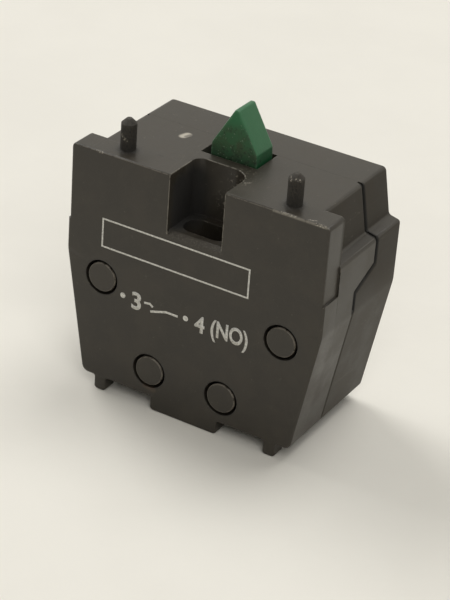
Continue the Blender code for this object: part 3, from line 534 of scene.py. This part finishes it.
def black_plastic(tree, body, dusty, worn, wear):
    """Black moulded plastic, handled and a little dusty, with soiling and painted shade in its inner
    corners: its grain, colour and roughness.
    """
    grain = use(tree, GRAIN, Fine=7000.0, Broad=260.0)
    edges = use(tree, WORN_EDGES, Reach=0.00014, Break_Up=1700.0, Amount=0.5)["Mask"]
    dirt_and_shade = use(tree, CORNER_DIRT_AND_SHADE, Reach=0.0007, Break_Up=1500.0)["Mask"]
    specks = use(tree, SPECKS, Scale=3200.0, Level=0.7)["Mask"]
    scratches = use(tree, SCRATCHES, Scale=700.0, Width=0.003)["Mask"]
    colour = over(tree, times(tree, grain["Patches"], 0.6), body, dusty)
    # Soiling and painted shade in the inner corners
    colour = over(tree, times(tree, dirt_and_shade, 0.6), colour, DARK_DIRT_AND_SHADE)
    colour = over(tree, times(tree, scratches, 0.08), colour, worn)
    colour = over(tree, times(tree, specks, 0.2), colour, worn)
    colour = over(tree, times(tree, edges, wear), colour, worn)
    roughness = calculate(tree, "ADD", times(tree, grain["Patches"], 0.1), 0.34)
    return grain, colour, roughness


def dull_sides(tree, low, high):
    """The upright sides: dullest behind the plate above the shoulder, with given shares below it."""
    place = add(tree, "TexCoord").outputs
    where = add(tree, "SeparateXYZ", Vector=place["Object"]).outputs
    facing = calculate(tree, "ABSOLUTE", add(tree, "SeparateXYZ", Vector=place["Normal"]).outputs["X"])
    upright = ramp(tree, facing, 0.75, 0.92)
    behind = ramp(tree, where["Y"], PLATE_REAR - SIDE_BLEND, PLATE_REAR + SIDE_BLEND)
    above = ramp(tree, where["Z"], SHOULDER - SIDE_BLEND, SHOULDER)
    rising = times(tree, ramp(tree, where["Z"], SIDE_LOW, SIDE_HIGH), high - low)
    below = times(tree, behind, calculate(tree, "ADD", rising, low))
    strength = strongest(tree, [times(tree, behind, above), below])
    return times(tree, upright, strength)


def housing_plastic(name, low_dullness, high_dullness):
    """A shell's plastic, with the marks of use in their places, and painted shade in the pocket, along
    the side seams, round the pin holes and the peg feet, and in faint lines on the top.
    """
    material, tree, shader = finish_material(name)
    off_seam = calculate(tree, "SUBTRACT", 1.0, marks(tree, TOP_SEAM))
    grain, colour, roughness = black_plastic(
        tree, tone(46, 42, 35), tone(56, 51, 43), PALE_WEAR, times(tree, off_seam, 0.4)
    )
    shader.inputs["Specular IOR Level"].default_value = SHEEN
    broken = use(tree, BREAK_UP, Scale=2600.0, Cover=0.8)["Mask"]
    fine = use(tree, BREAK_UP, Scale=6000.0, Cover=0.55)["Mask"]
    # Painted shade in a ring round each pin hole
    holes = rings(tree, PIN_HOLE_RADIUS * PIN_HOLE_FLARE, PIN_HOLE_SHADE)
    dust = use(tree, SPECKS, Scale=3000.0, Level=0.6)["Mask"]
    colour = over(tree, times(tree, holes, 0.5), colour, SHADED_PLASTIC)
    # Painted contact shade, with soiling, round the foot of each peg
    colour = over(tree, times(tree, marks(tree, PEG_BASES), 0.4), colour, tone(26, 24, 21))
    stems = marks(tree, PEG_STEMS)
    rough_stems = times(tree, stems, calculate(tree, "ADD", times(tree, fine, 0.65), 0.25))
    colour = over(tree, rough_stems, colour, DARK_DIRT_AND_SHADE)
    lip = times(tree, marks(tree, ROUGH_LIP), fine)
    colour = over(tree, times(tree, lip, 0.3), colour, tone(112, 106, 96))
    # Faint lines of painted shade on the top
    faint = times(tree, marks(tree, FAINT_LINES), broken)
    colour = over(tree, times(tree, faint, 0.25), colour, SHADED_PLASTIC)
    colour = over(tree, times(tree, marks(tree, SMEARS), 0.3), colour, tone(96, 78, 62))
    dusted = times(tree, marks(tree, POCKET_DUST), dust)
    colour = over(tree, times(tree, dusted, 0.5), colour, tone(140, 133, 120))
    colour = over(tree, times(tree, marks(tree, WORN_LINES), 0.22), colour, PALE_WEAR)
    rubbed = times(tree, marks(tree, RUBBED_LINES), broken)
    colour = over(tree, times(tree, rubbed, 0.5), colour, tone(150, 144, 131))
    chipped = times(tree, marks(tree, CHIPS), fine)
    colour = over(tree, times(tree, chipped, 0.8), colour, tone(190, 182, 166))
    dent = marks(tree, DENT_FLOOR)
    dent_rim = calculate(tree, "SUBTRACT", marks(tree, DENT_RIM), times(tree, dent, 0.6))
    colour = over(tree, span(tree, dent_rim, 0.0, 1.0, 0.85), colour, tone(196, 188, 172))
    colour = over(tree, times(tree, marks(tree, NICKS), 0.85), colour, tone(16, 15, 14))
    ragged = times(tree, stems, fine)
    height = calculate(tree, "ADD", times(tree, grain["Height"], 0.15), times(tree, ragged, 0.7))
    height = calculate(tree, "SUBTRACT", height, times(tree, dent, 0.3))
    # Painted shade on the pocket's left wall and back-left corner
    pocket = marks(tree, POCKET_SHADE)
    colour = over(tree, times(tree, pocket, 0.9), colour, tone(12, 11, 10))
    # Painted shade along the side seams
    seam = marks(tree, SEAM_SHADE_LINES)
    colour = over(tree, times(tree, seam, 0.95), colour, tone(6, 6, 5))
    dull = strongest(tree, [stems, pocket, seam, dull_sides(tree, low_dullness, high_dullness)])
    roughness = calculate(tree, "ADD", roughness, times(tree, dull, 0.45))
    surface(tree, shader, colour, roughness, height, 0.00007, times(tree, off_seam, 0.0001))
    return material


def pin_plastic(name):
    """The pins' plastic: the same, with more worn rims that also carry a painted highlight, and painted
    shade on the flanks that sink into the holes.
    """
    material, tree, shader = finish_material(name)
    grain, colour, roughness = black_plastic(
        tree, tone(48, 44, 37), tone(58, 53, 45), tone(140, 132, 118), 0.5
    )
    shader.inputs["Specular IOR Level"].default_value = SHEEN
    worn = use(tree, BREAK_UP, Scale=1500.0, Cover=0.75)["Mask"]
    # A pale, broken ring on each pin's rim: wear, and a painted highlight
    rim = times(tree, rings(tree, PIN_HEAD_RADIUS, PIN_RIM_WEAR_AND_HIGHLIGHT), worn)
    colour = over(tree, times(tree, rim, 0.6), colour, tone(150, 142, 128))
    # Painted shade on each pin's flank, darker as it sinks behind the front
    depth = add(tree, "SeparateXYZ", Vector=add(tree, "TexCoord").outputs["Object"]).outputs["Y"]
    sunk = ramp(tree, depth, FRONT + PIN_SHADE_START, FRONT + PIN_SHADE_END)
    colour = over(tree, times(tree, sunk, 0.85), colour, tone(10, 9, 8))
    surface(tree, shader, colour, roughness, grain["Height"], 0.00001, 0.00005)
    return material


def plunger_plastic(name):
    """Green plastic: clean on its slopes, dirty and rough on its front, with painted shade round its
    foot.
    """
    material, tree, shader = finish_material(name)
    shader.inputs["Specular IOR Level"].default_value = SHEEN
    grain = use(tree, GRAIN, Fine=6000.0, Broad=900.0)
    edges = use(tree, WORN_EDGES, Reach=0.00025, Break_Up=2500.0, Amount=0.9)["Mask"]
    specks = use(tree, SPECKS, Scale=3600.0, Level=0.64)["Mask"]
    bits = use(tree, SPECKS, Scale=2600.0, Level=0.6)["Mask"]
    clouds = use(tree, BREAK_UP, Scale=1100.0, Cover=0.5)["Mask"]
    place = add(tree, "TexCoord").outputs
    height = add(tree, "SeparateXYZ", Vector=place["Object"]).outputs["Z"]
    facing = add(tree, "SeparateXYZ", Vector=place["Normal"]).outputs["Y"]
    forward = ramp(tree, facing, -0.4, -0.9)
    foot = ramp(tree, height, TOP + 0.0017, TOP + 0.0002)
    handled = ramp(tree, height, TOP + 0.0044, TOP + 0.0028)
    cover = calculate(tree, "ADD", times(tree, grain["Patches"], 0.4), 0.5)
    soiled = times(tree, times(tree, forward, handled), cover)
    colour = over(tree, times(tree, grain["Patches"], 0.3), tone(38, 98, 60), tone(48, 106, 68))
    colour = over(tree, soiled, colour, tone(44, 64, 38))
    clouded = times(tree, clouds, soiled)
    colour = over(tree, times(tree, clouded, 0.6), colour, tone(56, 56, 36))
    # Painted shade round the plunger's foot, broken up by clouds
    foot_shade = times(tree, foot, calculate(tree, "ADD", times(tree, clouds, 0.5), 0.4))
    colour = over(tree, foot_shade, colour, tone(14, 34, 22))
    dark_bits = times(tree, bits, soiled)
    colour = over(tree, times(tree, dark_bits, 0.6), colour, tone(16, 20, 16))
    pale_specks = times(tree, specks, forward)
    colour = over(tree, times(tree, pale_specks, 0.4), colour, tone(120, 146, 120))
    colour = over(tree, times(tree, edges, 0.35), colour, tone(112, 152, 120))
    roughness = calculate(tree, "ADD", times(tree, forward, 0.2), 0.4)
    surface(tree, shader, colour, roughness, grain["Height"], 0.000015, 0.00025)
    return material


def metal(name, clean, dull, lines, roughness):
    """Bare or plated metal with drawing lines and dull patches."""
    material, tree, shader = finish_material(name)
    shader.inputs["Metallic"].default_value = 1.0
    grain = use(tree, GRAIN, Fine=lines, Broad=900.0)
    edges = use(tree, WORN_EDGES, Reach=0.00012, Break_Up=3000.0, Amount=0.6)["Mask"]
    dirt_and_shade = use(tree, CORNER_DIRT_AND_SHADE, Reach=0.0004, Break_Up=2500.0)["Mask"]
    colour = over(tree, times(tree, grain["Patches"], 0.55), clean, dull)
    # Soiling and painted shade in the inner corners
    colour = over(tree, times(tree, dirt_and_shade, 0.6), colour, tone(60, 54, 46))
    colour = over(tree, times(tree, edges, 0.5), colour, clean)
    shade = calculate(tree, "ADD", times(tree, grain["Patches"], 0.2), roughness)
    surface(tree, shader, colour, shade, grain["Height"], 0.000006, 0.0001)
    return material


def fibre_sheet(name):
    """Pressed fibre, with its short strands and darker rim."""
    material, tree, shader = finish_material(name)
    grain = use(tree, GRAIN, Fine=9000.0, Broad=1500.0)
    strands = use(tree, SCRATCHES, Scale=3000.0, Width=0.03)["Mask"]
    edges = use(tree, WORN_EDGES, Reach=0.00015, Break_Up=3000.0, Amount=0.9)["Mask"]
    colour = over(tree, grain["Patches"], tone(128, 74, 48), tone(150, 92, 60))
    colour = over(tree, times(tree, strands, 0.4), colour, tone(182, 128, 92))
    colour = over(tree, times(tree, edges, 0.5), colour, tone(84, 46, 30))
    roughness = calculate(tree, "ADD", times(tree, grain["Patches"], 0.1), 0.7)
    surface(tree, shader, colour, roughness, grain["Height"], 0.00002, 0.00008)
    return material


def print_ink(name, ink, ground):
    """Pale ink, worn through to the plastic in small flakes."""
    material, tree, shader = finish_material(name)
    grain = use(tree, GRAIN, Fine=9000.0, Broad=5200.0)
    colour = over(tree, times(tree, grain["Patches"], 0.5), ink, ground)
    roughness = calculate(tree, "ADD", times(tree, grain["Patches"], 0.2), 0.5)
    surface(tree, shader, colour, roughness, grain["Height"], 0.00001, 0.00002)
    return material


HOUSING = housing_plastic("housing_plastic", 0.1, 0.1)
REAR_HOUSING = housing_plastic("rear_housing_plastic", 0.4, 0.9)
PIN = pin_plastic("pin_plastic")
PLUNGER = plunger_plastic("plunger_plastic")
SPRING = metal("spring_steel", tone(196, 196, 198), tone(150, 148, 146), 9000.0, 0.25)
BRASS = metal("contact_brass", tone(214, 176, 104), tone(168, 126, 70), 7000.0, 0.28)
SILVER = metal("contact_silver", tone(226, 222, 214), tone(170, 164, 150), 9000.0, 0.26)
ZINC = metal("zinc_steel", tone(198, 200, 204), tone(160, 160, 154), 6000.0, 0.3)
FIBRE = fibre_sheet("fibre")
INK = print_ink("print_ink", tone(214, 212, 204), tone(110, 106, 98))

FINISH = {
    "housing_plastic": HOUSING,
    "pin_plastic": PIN,
    "plunger_plastic": PLUNGER,
    "spring_steel": SPRING,
    "contact_brass": BRASS,
    "contact_silver": SILVER,
    "zinc_steel": ZINC,
    "fibre": FIBRE,
}


# Pieces

def new_piece(name, mesh, finish=None):
    """A mesh object in the scene, in its finish where one is given."""
    piece = bpy.data.objects.new(name, mesh)
    bpy.context.scene.collection.objects.link(piece)
    if finish:
        mesh.materials.clear()
        mesh.materials.append(finish)
    return piece


def settle(guide):
    """Turns a guide object into the plain mesh that its modifiers or curve give."""
    graph = bpy.context.evaluated_depsgraph_get()
    mesh = bpy.data.meshes.new_from_object(guide.evaluated_get(graph))
    bpy.data.objects.remove(guide, do_unlink=True)
    return mesh


def across(vert):
    """A point's place in the front view, in whole micrometres."""
    return round(vert.co.x * 1e6), round(vert.co.z * 1e6)


def flush_plate(work):
    """Brings the front plate's top and lower sides out to the body behind it."""
    sides = [
        vert
        for vert in work.verts
        if vert.co.y < PLATE_REAR + WELD and abs(vert.co.x) > PLATE_SIDE and vert.co.z < PLATE_SIDE_TOP
    ]
    plate = {across(vert) for vert in sides if vert.co.y < PLATE_REAR - WELD}
    body = [vert.co.copy() for vert in sides if across(vert) not in plate]
    for vert in sides:
        if across(vert) not in plate or not body:
            continue
        gaps = [Vector((point.x - vert.co.x, 0, point.z - vert.co.z)) for point in body]
        nearest = min(gaps, key=lambda gap: gap.length)
        if nearest.length < FLUSH_REACH:
            vert.co += nearest
        elif abs(vert.co.x) > BODY_SIDE - FLUSH_REACH:
            vert.co.x = math.copysign(BODY_SIDE, vert.co.x)
    for vert in work.verts:
        if abs(TOP - vert.co.z - FLUSH_STEP) < WELD:
            vert.co.z = TOP


def drop_step(work):
    """Takes away what is left of the step behind the plate, where its two rims have met."""
    def on_step(face):
        return all(abs(vert.co.y - PLATE_REAR) < WELD for vert in face.verts)

    def crowded(face):
        return any(len(edge.link_faces) != 2 for edge in face.edges)

    stray = [face for face in work.faces if on_step(face) and crowded(face)]
    bmesh.ops.delete(work, geom=stray, context="FACES")
    bmesh.ops.holes_fill(work, edges=[edge for edge in work.edges if edge.is_boundary])


def close_seams(work):
    """Brings the top lip and the lower walls up to the rear shell, so that no light comes through."""
    for vert in work.verts:
        on_lip = TOP_SEAM_FRONT < vert.co.y < TOP_SEAM_REAR
        if on_lip and vert.co.z > TOP - WELD:
            vert.co.y = TOP_SEAM_REAR
            if vert.co.x < TOP_SEAM_END:
                vert.co.x -= TOP_SEAM_REACH
        elif abs(vert.co.z - TOP_LIP_LOW) < WELD and 0 < vert.co.y < TOP_SEAM_REAR:
            vert.co.z = TOP_LIP_DEEP
            if on_lip:
                vert.co.y = TOP_SEAM_REAR
        elif abs(vert.co.y - LOW_SEAM_FRONT) < WELD and vert.co.z < LOW_SEAM_TOP:
            vert.co.y = LOW_SEAM_REAR


def pin_centre(point):
    """The nearest pin's middle, level with a point."""
    centres = [Vector((x, point.y, z)) for x, z in PIN_PLACES]
    return min(centres, key=lambda centre: (point - centre).length)


def flare_holes(work):
    """Widens the pin holes towards the front face."""
    for vert in work.verts:
        centre = pin_centre(vert.co)
        reach = vert.co - centre
        if abs(vert.co.y - FRONT) < WELD and reach.length < PIN_HOLE_RADIUS + WELD:
            vert.co = centre + reach * PIN_HOLE_FLARE


def widen_pin_head(work):
    """Widens a pin's head towards its hole, with a finer rim."""
    for vert in work.verts:
        centre = pin_centre(vert.co)
        reach = vert.co - centre
        if vert.co.y < FRONT + PIN_HEAD and reach.length > PIN_RADIUS / 2:
            radius = PIN_HEAD_RADIUS - PIN_RIM_SHARE * (PIN_RADIUS - reach.length)
            vert.co = centre + reach.normalized() * radius


def on_side_seam(middle, tilt):
    """Whether an edge runs along the side seam, between a side face and a face of the seam."""
    along_seam = SIDE_SEAM_FRONT < middle.y < SIDE_SEAM_REAR
    between = SIDE_SEAM_LOW < middle.z < SIDE_SEAM_HIGH and abs(middle.x) > SIDE_SEAM_OUT
    return along_seam and between and tilt[0] < SEAM_FACING and tilt[-1] > SIDE_FACING


def refill_front(work):
    """Fills the flat of the front face anew, round the widened pin holes."""
    flat = [face for face in work.faces if all(abs(vert.co.y - FRONT) < WELD for vert in face.verts)]
    if not flat:
        return
    inside = set(flat)
    rim = [
        edge
        for edge in {edge for face in flat for edge in face.edges}
        if sum(face in inside for face in edge.link_faces) == 1
    ]
    rim.sort(key=lambda edge: edge.index)
    bmesh.ops.delete(work, geom=flat, context="FACES")
    bmesh.ops.triangle_fill(work, use_beauty=True, edges=rim, normal=(0, -1, 0))


def mark_bevels(work):
    """Gives the edges along the side seam a bevel weight."""
    weight = work.edges.layers.float.new("bevel_weight_edge")
    for edge in work.edges:
        middle = (edge.verts[0].co + edge.verts[1].co) / 2
        tilt = sorted(abs(face.normal.x) for face in edge.link_faces)
        if on_side_seam(middle, tilt):
            edge[weight] = 1.0


def dress(node, slot):
    """A welded, smoothly shaded copy that stands for a CAD node."""
    shell = node.endswith("_shell")
    work = bmesh.new()
    work.from_mesh(nodes[node].data)
    bmesh.ops.remove_doubles(work, verts=work.verts, dist=WELD)
    if shell:
        flush_plate(work)
        bmesh.ops.remove_doubles(work, verts=work.verts, dist=WELD)
        drop_step(work)
    if slot == "pin_plastic":
        widen_pin_head(work)
    bmesh.ops.dissolve_limit(work, angle_limit=FLAT_ANGLE, verts=work.verts, edges=work.edges)
    work.verts.index_update()
    points = [v.co[:] for v in work.verts]
    faces = [[v.index for v in face.verts] for face in work.faces]
    work.free()
    mesh = bpy.data.meshes.new(f"{node}_dressed")
    mesh.from_pydata(points, [], faces)
    if shell:
        work = bmesh.new()
        work.from_mesh(mesh)
        close_seams(work)
        flare_holes(work)
        work.edges.index_update()
        refill_front(work)
        work.normal_update()
        mark_bevels(work)
        work.to_mesh(mesh)
        work.free()
    mesh.shade_smooth()
    mesh.set_sharp_from_angle(angle=math.radians(SHARP_ANGLE))
    finish = REAR_HOUSING if node == "rear_shell" else FINISH[slot]
    piece = new_piece(f"{node}_dressed", mesh, finish)
    if shell:
        ease_seam(piece)
    weighted = piece.modifiers.new("flat_faces_lead", "WEIGHTED_NORMAL")
    weighted.keep_sharp = True
    stand_for(piece, node)


def ease_seam(piece):
    """Bevels the edges that mark_bevels has picked."""
    bevel = piece.modifiers.new("eased_seam", "BEVEL")
    bevel.limit_method = "WEIGHT"
    bevel.width = SEAM_BEVEL
    bevel.segments = 2
    bevel.use_clamp_overlap = False


def stand_for(piece, node):
    """Puts a piece in a CAD node's place, on its body, and hides the node."""
    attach(piece, body_of[node])
    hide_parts(node)


def geometry_tree(name, sizes):
    """An empty geometry tree with named sizes: the tree, its inputs and its output."""
    tree = bpy.data.node_groups.new(name, "GeometryNodeTree")
    for label in sizes:
        tree.interface.new_socket(label, in_out="INPUT", socket_type="NodeSocketFloat")
    tree.interface.new_socket("Finish", in_out="INPUT", socket_type="NodeSocketMaterial")
    tree.interface.new_socket("Geometry", in_out="OUTPUT", socket_type="NodeSocketGeometry")
    given = tree.nodes.new("NodeGroupInput").outputs
    made = tree.nodes.new("NodeGroupOutput").inputs["Geometry"]
    return tree, given, made


def grow(tree, kind, settings=None, **sockets):
    """Adds a geometry node. Each socket takes a value, or another node's output."""
    made = tree.nodes.new(f"GeometryNode{kind}")
    for name, value in (settings or {}).items():
        setattr(made, name, value)
    fill(tree, made, sockets)
    return made


def end_tree(tree, given, made, shape):
    """Closes a geometry tree: smooth, realized, and in its finish."""
    smooth = grow(tree, "SetShadeSmooth", Geometry=shape)
    whole = grow(tree, "RealizeInstances", Geometry=smooth.outputs[0])
    finished = grow(tree, "SetMaterial", Geometry=whole.outputs[0], Material=given["Finish"])
    tree.links.new(finished.outputs[0], made)


def coil_tree():
    """A wound spring from z = 0 up, with one closed turn at each end."""
    tree, given, made = geometry_tree("wound_coil", ("Coil Radius", "Wire", "Turns", "Length"))
    flat = grow(
        tree,
        "CurveSpiral",
        Resolution=COIL_STEPS,
        Rotations=given["Turns"],
        Start_Radius=given["Coil Radius"],
        End_Radius=given["Coil Radius"],
        Height=0.0,
    )
    along = grow(tree, "SplineParameter").outputs["Factor"]
    first = calculate(tree, "DIVIDE", 1.0, given["Turns"])
    last = calculate(tree, "SUBTRACT", 1.0, first)
    active = calculate(tree, "SUBTRACT", given["Length"], times(tree, given["Wire"], 3.0))
    closed_turn = span(tree, along, 0.0, first, given["Wire"])
    open_turns = span(tree, along, first, last, active)
    height = calculate(tree, "ADD", closed_turn, open_turns)
    height = calculate(tree, "ADD", height, span(tree, along, last, 1.0, given["Wire"]))
    wire_radius = times(tree, given["Wire"], 0.5)
    height = calculate(tree, "ADD", height, wire_radius)
    lift = add(tree, "CombineXYZ", Z=height)
    wound = grow(tree, "SetPosition", Geometry=flat.outputs[0], Offset=lift.outputs[0])
    section = grow(tree, "CurvePrimitiveCircle", Resolution=WIRE_SIDES, Radius=wire_radius)
    wire = grow(
        tree, "CurveToMesh", Curve=wound.outputs[0], Profile_Curve=section.outputs[0], Fill_Caps=True
    )
    end_tree(tree, given, made, wire.outputs[0])
    return tree


def thread_tree():
    """A screw thread: one ridge wound about a shank, from z = 0 up."""
    tree, given, made = geometry_tree("screw_thread", ("Shank Radius", "Depth", "Pitch", "Length"))
    ridge = grow(
        tree,
        "CurveSpiral",
        Resolution=THREAD_STEPS,
        Rotations=calculate(tree, "DIVIDE", given["Length"], given["Pitch"]),
        Start_Radius=given["Shank Radius"],
        End_Radius=given["Shank Radius"],
        Height=given["Length"],
    )
    section = grow(tree, "CurvePrimitiveCircle", Resolution=RIDGE_SIDES, Radius=given["Depth"])
    thread = grow(
        tree, "CurveToMesh", Curve=ridge.outputs[0], Profile_Curve=section.outputs[0], Fill_Caps=True
    )
    end_tree(tree, given, made, thread.outputs[0])
    return tree


def grown(name, tree, sizes, finish, place):
    """A plain mesh piece, grown by a geometry tree and set in its place."""
    guide = new_piece(name, bpy.data.meshes.new(name))
    modifier = guide.modifiers.new("grow", "NODES")
    modifier.node_group = tree
    socket = {item.name: item.identifier for item in tree.interface.items_tree}
    for label, size in sizes.items():
        modifier[socket[label]] = size
    modifier[socket["Finish"]] = finish
    mesh = settle(guide)
    mesh.transform(Matrix.Translation(place))
    return new_piece(name, mesh)


for subpart in frame["record"]["subparts"]:
    if not subpart["node"].endswith("_spring"):
        dress(subpart["node"], subpart["material_slot"])

COIL = coil_tree()
THREAD = thread_tree()

return_coil = grown("return_coil", COIL, RETURN_COIL, SPRING, RETURN_PLACE)
stand_for(return_coil, "return_spring")
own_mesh(return_coil)

contact_coil = grown("contact_coil", COIL, CONTACT_COIL, SPRING, CONTACT_PLACE)
stand_for(contact_coil, "contact_spring")
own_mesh(contact_coil)


def cut_thread(name, node, head_height):
    """A thread from just over a screw's head to just under its tip."""
    low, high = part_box(node)
    start = low.z + head_height + THREAD_PITCH
    middle = ((low.x + high.x) / 2, (low.y + high.y) / 2, start)
    sizes = {
        "Shank Radius": SHANK_RADIUS,
        "Depth": THREAD_DEPTH,
        "Pitch": THREAD_PITCH,
        "Length": high.z - THREAD_PITCH - start,
    }
    thread = grown(name, THREAD, sizes, ZINC, middle)
    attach(thread, body_of[node])


cut_thread("terminal_thread_left", "terminal_screw_left", TERMINAL_HEAD_HEIGHT)
cut_thread("terminal_thread_right", "terminal_screw_right", TERMINAL_HEAD_HEIGHT)
cut_thread("fixing_thread", "fixing_screw", FIXING_HEAD_HEIGHT)


# Print

def strip(work, points, width, closed=False):
    """A flat line of even width through points of the front face, mitred at its turns."""
    points = [Vector(point) for point in points]
    steps = [(end - start).normalized() for start, end in zip(points, points[1:])]
    if closed:
        last = (points[0] - points[-1]).normalized()
        before, after = [last, *steps], [*steps, last]
    else:
        before, after = [steps[0], *steps], [*steps, steps[-1]]
    rims = []
    for point, come, go in zip(points, before, after):
        turn = (come + go).normalized()
        reach = Vector((-turn.y, turn.x)) * width / 2 / turn.dot(go)
        rims.append([work.verts.new((*(point + side * reach), 0)) for side in (-1, 1)])
    ends = rims[1:] + rims[:1] if closed else rims[1:]
    for (low, high), (next_low, next_high) in zip(rims, ends):
        work.faces.new((low, next_low, next_high, high))


def disc(work, centre, radius):
    """A flat dot on the front face."""
    place = Matrix.Translation((*centre, 0))
    bmesh.ops.create_circle(work, cap_ends=True, segments=DOT_SIDES, radius=radius, matrix=place)


def lettered(work, text, centre, width, height):
    """Lettering in Blender's own plain typeface, fitted to a width and height about a point."""
    curve = bpy.data.curves.new(text, "FONT")
    curve.body = text
    curve.offset = LETTER_WEIGHT
    guide = bpy.data.objects.new(text, curve)
    bpy.context.scene.collection.objects.link(guide)
    bpy.context.view_layer.update()
    mesh = settle(guide)
    spread = [sorted(vert.co[axis] for vert in mesh.vertices) for axis in (0, 1)]
    (left, right), (low, high) = [(values[0], values[-1]) for values in spread]
    mesh.transform(Matrix.Translation((-(left + right) / 2, -(low + high) / 2, 0)))
    mesh.transform(Matrix.Diagonal((width / (right - left), height / (high - low), 1, 1)))
    mesh.transform(Matrix.Translation((*centre, 0)))
    work.from_mesh(mesh)


def sort_by_place(work):
    """Puts points, edges and faces in one fixed order, since an extrusion leaves them in any order."""
    def place(part):
        return sorted(vert.co[:] for vert in getattr(part, "verts", [part]))

    for parts in (work.verts, work.edges, work.faces):
        rank = {part: index for index, part in enumerate(sorted(parts, key=place))}
        parts.sort(key=rank.get)


def front_print():
    """Label frame, make-contact sign, dots, terminal numbers and letters, as one film of ink."""
    work = bmesh.new()
    corners = [
        (LABEL_LEFT, LABEL_LOW),
        (LABEL_RIGHT, LABEL_LOW),
        (LABEL_RIGHT, LABEL_HIGH),
        (LABEL_LEFT, LABEL_HIGH),
    ]
    strip(work, corners, LABEL_LINE, closed=True)
    strip(work, SIGN_STUB, SIGN_LINE)
    strip(work, SIGN_BLADE, SIGN_LINE)
    disc(work, LEFT_DOT, DOT_RADIUS)
    disc(work, RIGHT_DOT, DOT_RADIUS)
    for text, centre, width, height in LETTERING:
        lettered(work, text, centre, width, height)
    bmesh.ops.remove_doubles(work, verts=work.verts, dist=INK_WELD)
    film = bmesh.ops.extrude_face_region(work, geom=work.faces[:])
    lifted = [part for part in film["geom"] if isinstance(part, bmesh.types.BMVert)]
    bmesh.ops.translate(work, verts=lifted, vec=(0, 0, INK_PROUD + INK_SUNK))
    bmesh.ops.recalc_face_normals(work, faces=work.faces)
    sort_by_place(work)
    mesh = bpy.data.meshes.new("front_print")
    work.to_mesh(mesh)
    work.free()
    mesh.transform(
        Matrix.Translation((0, FRONT + INK_SUNK, 0)) @ Matrix.Rotation(math.radians(90), 4, "X")
    )
    printed = new_piece("front_print", mesh, INK)
    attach(printed, "housing")


front_print()


# Camera, floor and light

def look_from(place, target, roll):
    """The place and turn of a camera or lamp that looks at a target."""
    away = (Vector(place) - Vector(target)).to_track_quat("Z", "Y").to_matrix().to_4x4()
    return Matrix.Translation(place) @ away @ Matrix.Rotation(math.radians(roll), 4, "Z")


lens = bpy.data.cameras.new("camera")
lens.sensor_fit = "VERTICAL"
lens.sensor_height = SENSOR
lens.lens = FOCAL_PIXELS / IMAGE_HEIGHT * SENSOR
lens.clip_start = CLIP_START
camera = bpy.data.objects.new("camera", lens)
bpy.context.scene.collection.objects.link(camera)
camera.matrix_world = look_from(CAMERA_PLACE, CAMERA_TARGET, CAMERA_ROLL)
bpy.context.scene.camera = camera


def floor_material():
    """A plain pale floor, faintly clouded."""
    material, tree, shader = finish_material("pale_floor")
    grain = use(tree, GRAIN, Fine=900.0, Broad=40.0)
    clouds = times(tree, grain["Patches"], 0.5)
    colour = over(tree, clouds, tone(240, 236, 225), tone(236, 232, 221))
    roughness = calculate(tree, "ADD", times(tree, grain["Patches"], 0.1), 0.75)
    surface(tree, shader, colour, roughness, grain["Height"], 0.00002, 0.0001)
    return material


floor_mesh = bpy.data.meshes.new("floor")
floor_corners = [(FLOOR_REACH * x, FLOOR_REACH * y, 0) for x, y in ((-1, -1), (1, -1), (1, 1), (-1, 1))]
floor_mesh.from_pydata(floor_corners, [], [(0, 1, 2, 3)])
floor = new_piece("floor", floor_mesh, floor_material())


for lamp_name, (direction, power) in LAMPS.items():
    light = bpy.data.lights.new(lamp_name, "SUN")
    light.energy = power
    light.angle = math.radians(LAMP_SOFTNESS)
    lamp = bpy.data.objects.new(lamp_name, light)
    bpy.context.scene.collection.objects.link(lamp)
    lamp.matrix_world = look_from(direction, (0, 0, 0), 0)


def pale_studio():
    """A soft, even room: pale to the eye and in gloss, dimmer as a light."""
    world = bpy.data.worlds.new("studio")
    world.use_nodes = True
    tree = world.node_tree
    rays = add(tree, "LightPath").outputs
    seen = strongest(tree, [rays["Is Camera Ray"], rays["Is Glossy Ray"], rays["Is Transmission Ray"]])
    room = tree.nodes["Background"]
    room.inputs["Color"].default_value = tone(250, 249, 246)
    room.inputs["Strength"].default_value = ROOM_LIGHT
    backdrop = add(tree, "Background", Color=tone(238, 234, 224), Strength=1.0)
    mixed = add(tree, "MixShader", Fac=seen)
    tree.links.new(room.outputs[0], mixed.inputs[1])
    tree.links.new(backdrop.outputs[0], mixed.inputs[2])
    tree.links.new(mixed.outputs[0], tree.nodes["World Output"].inputs["Surface"])
    return world


bpy.context.scene.world = pale_studio()

bpy.context.scene.view_settings.view_transform = "Standard"
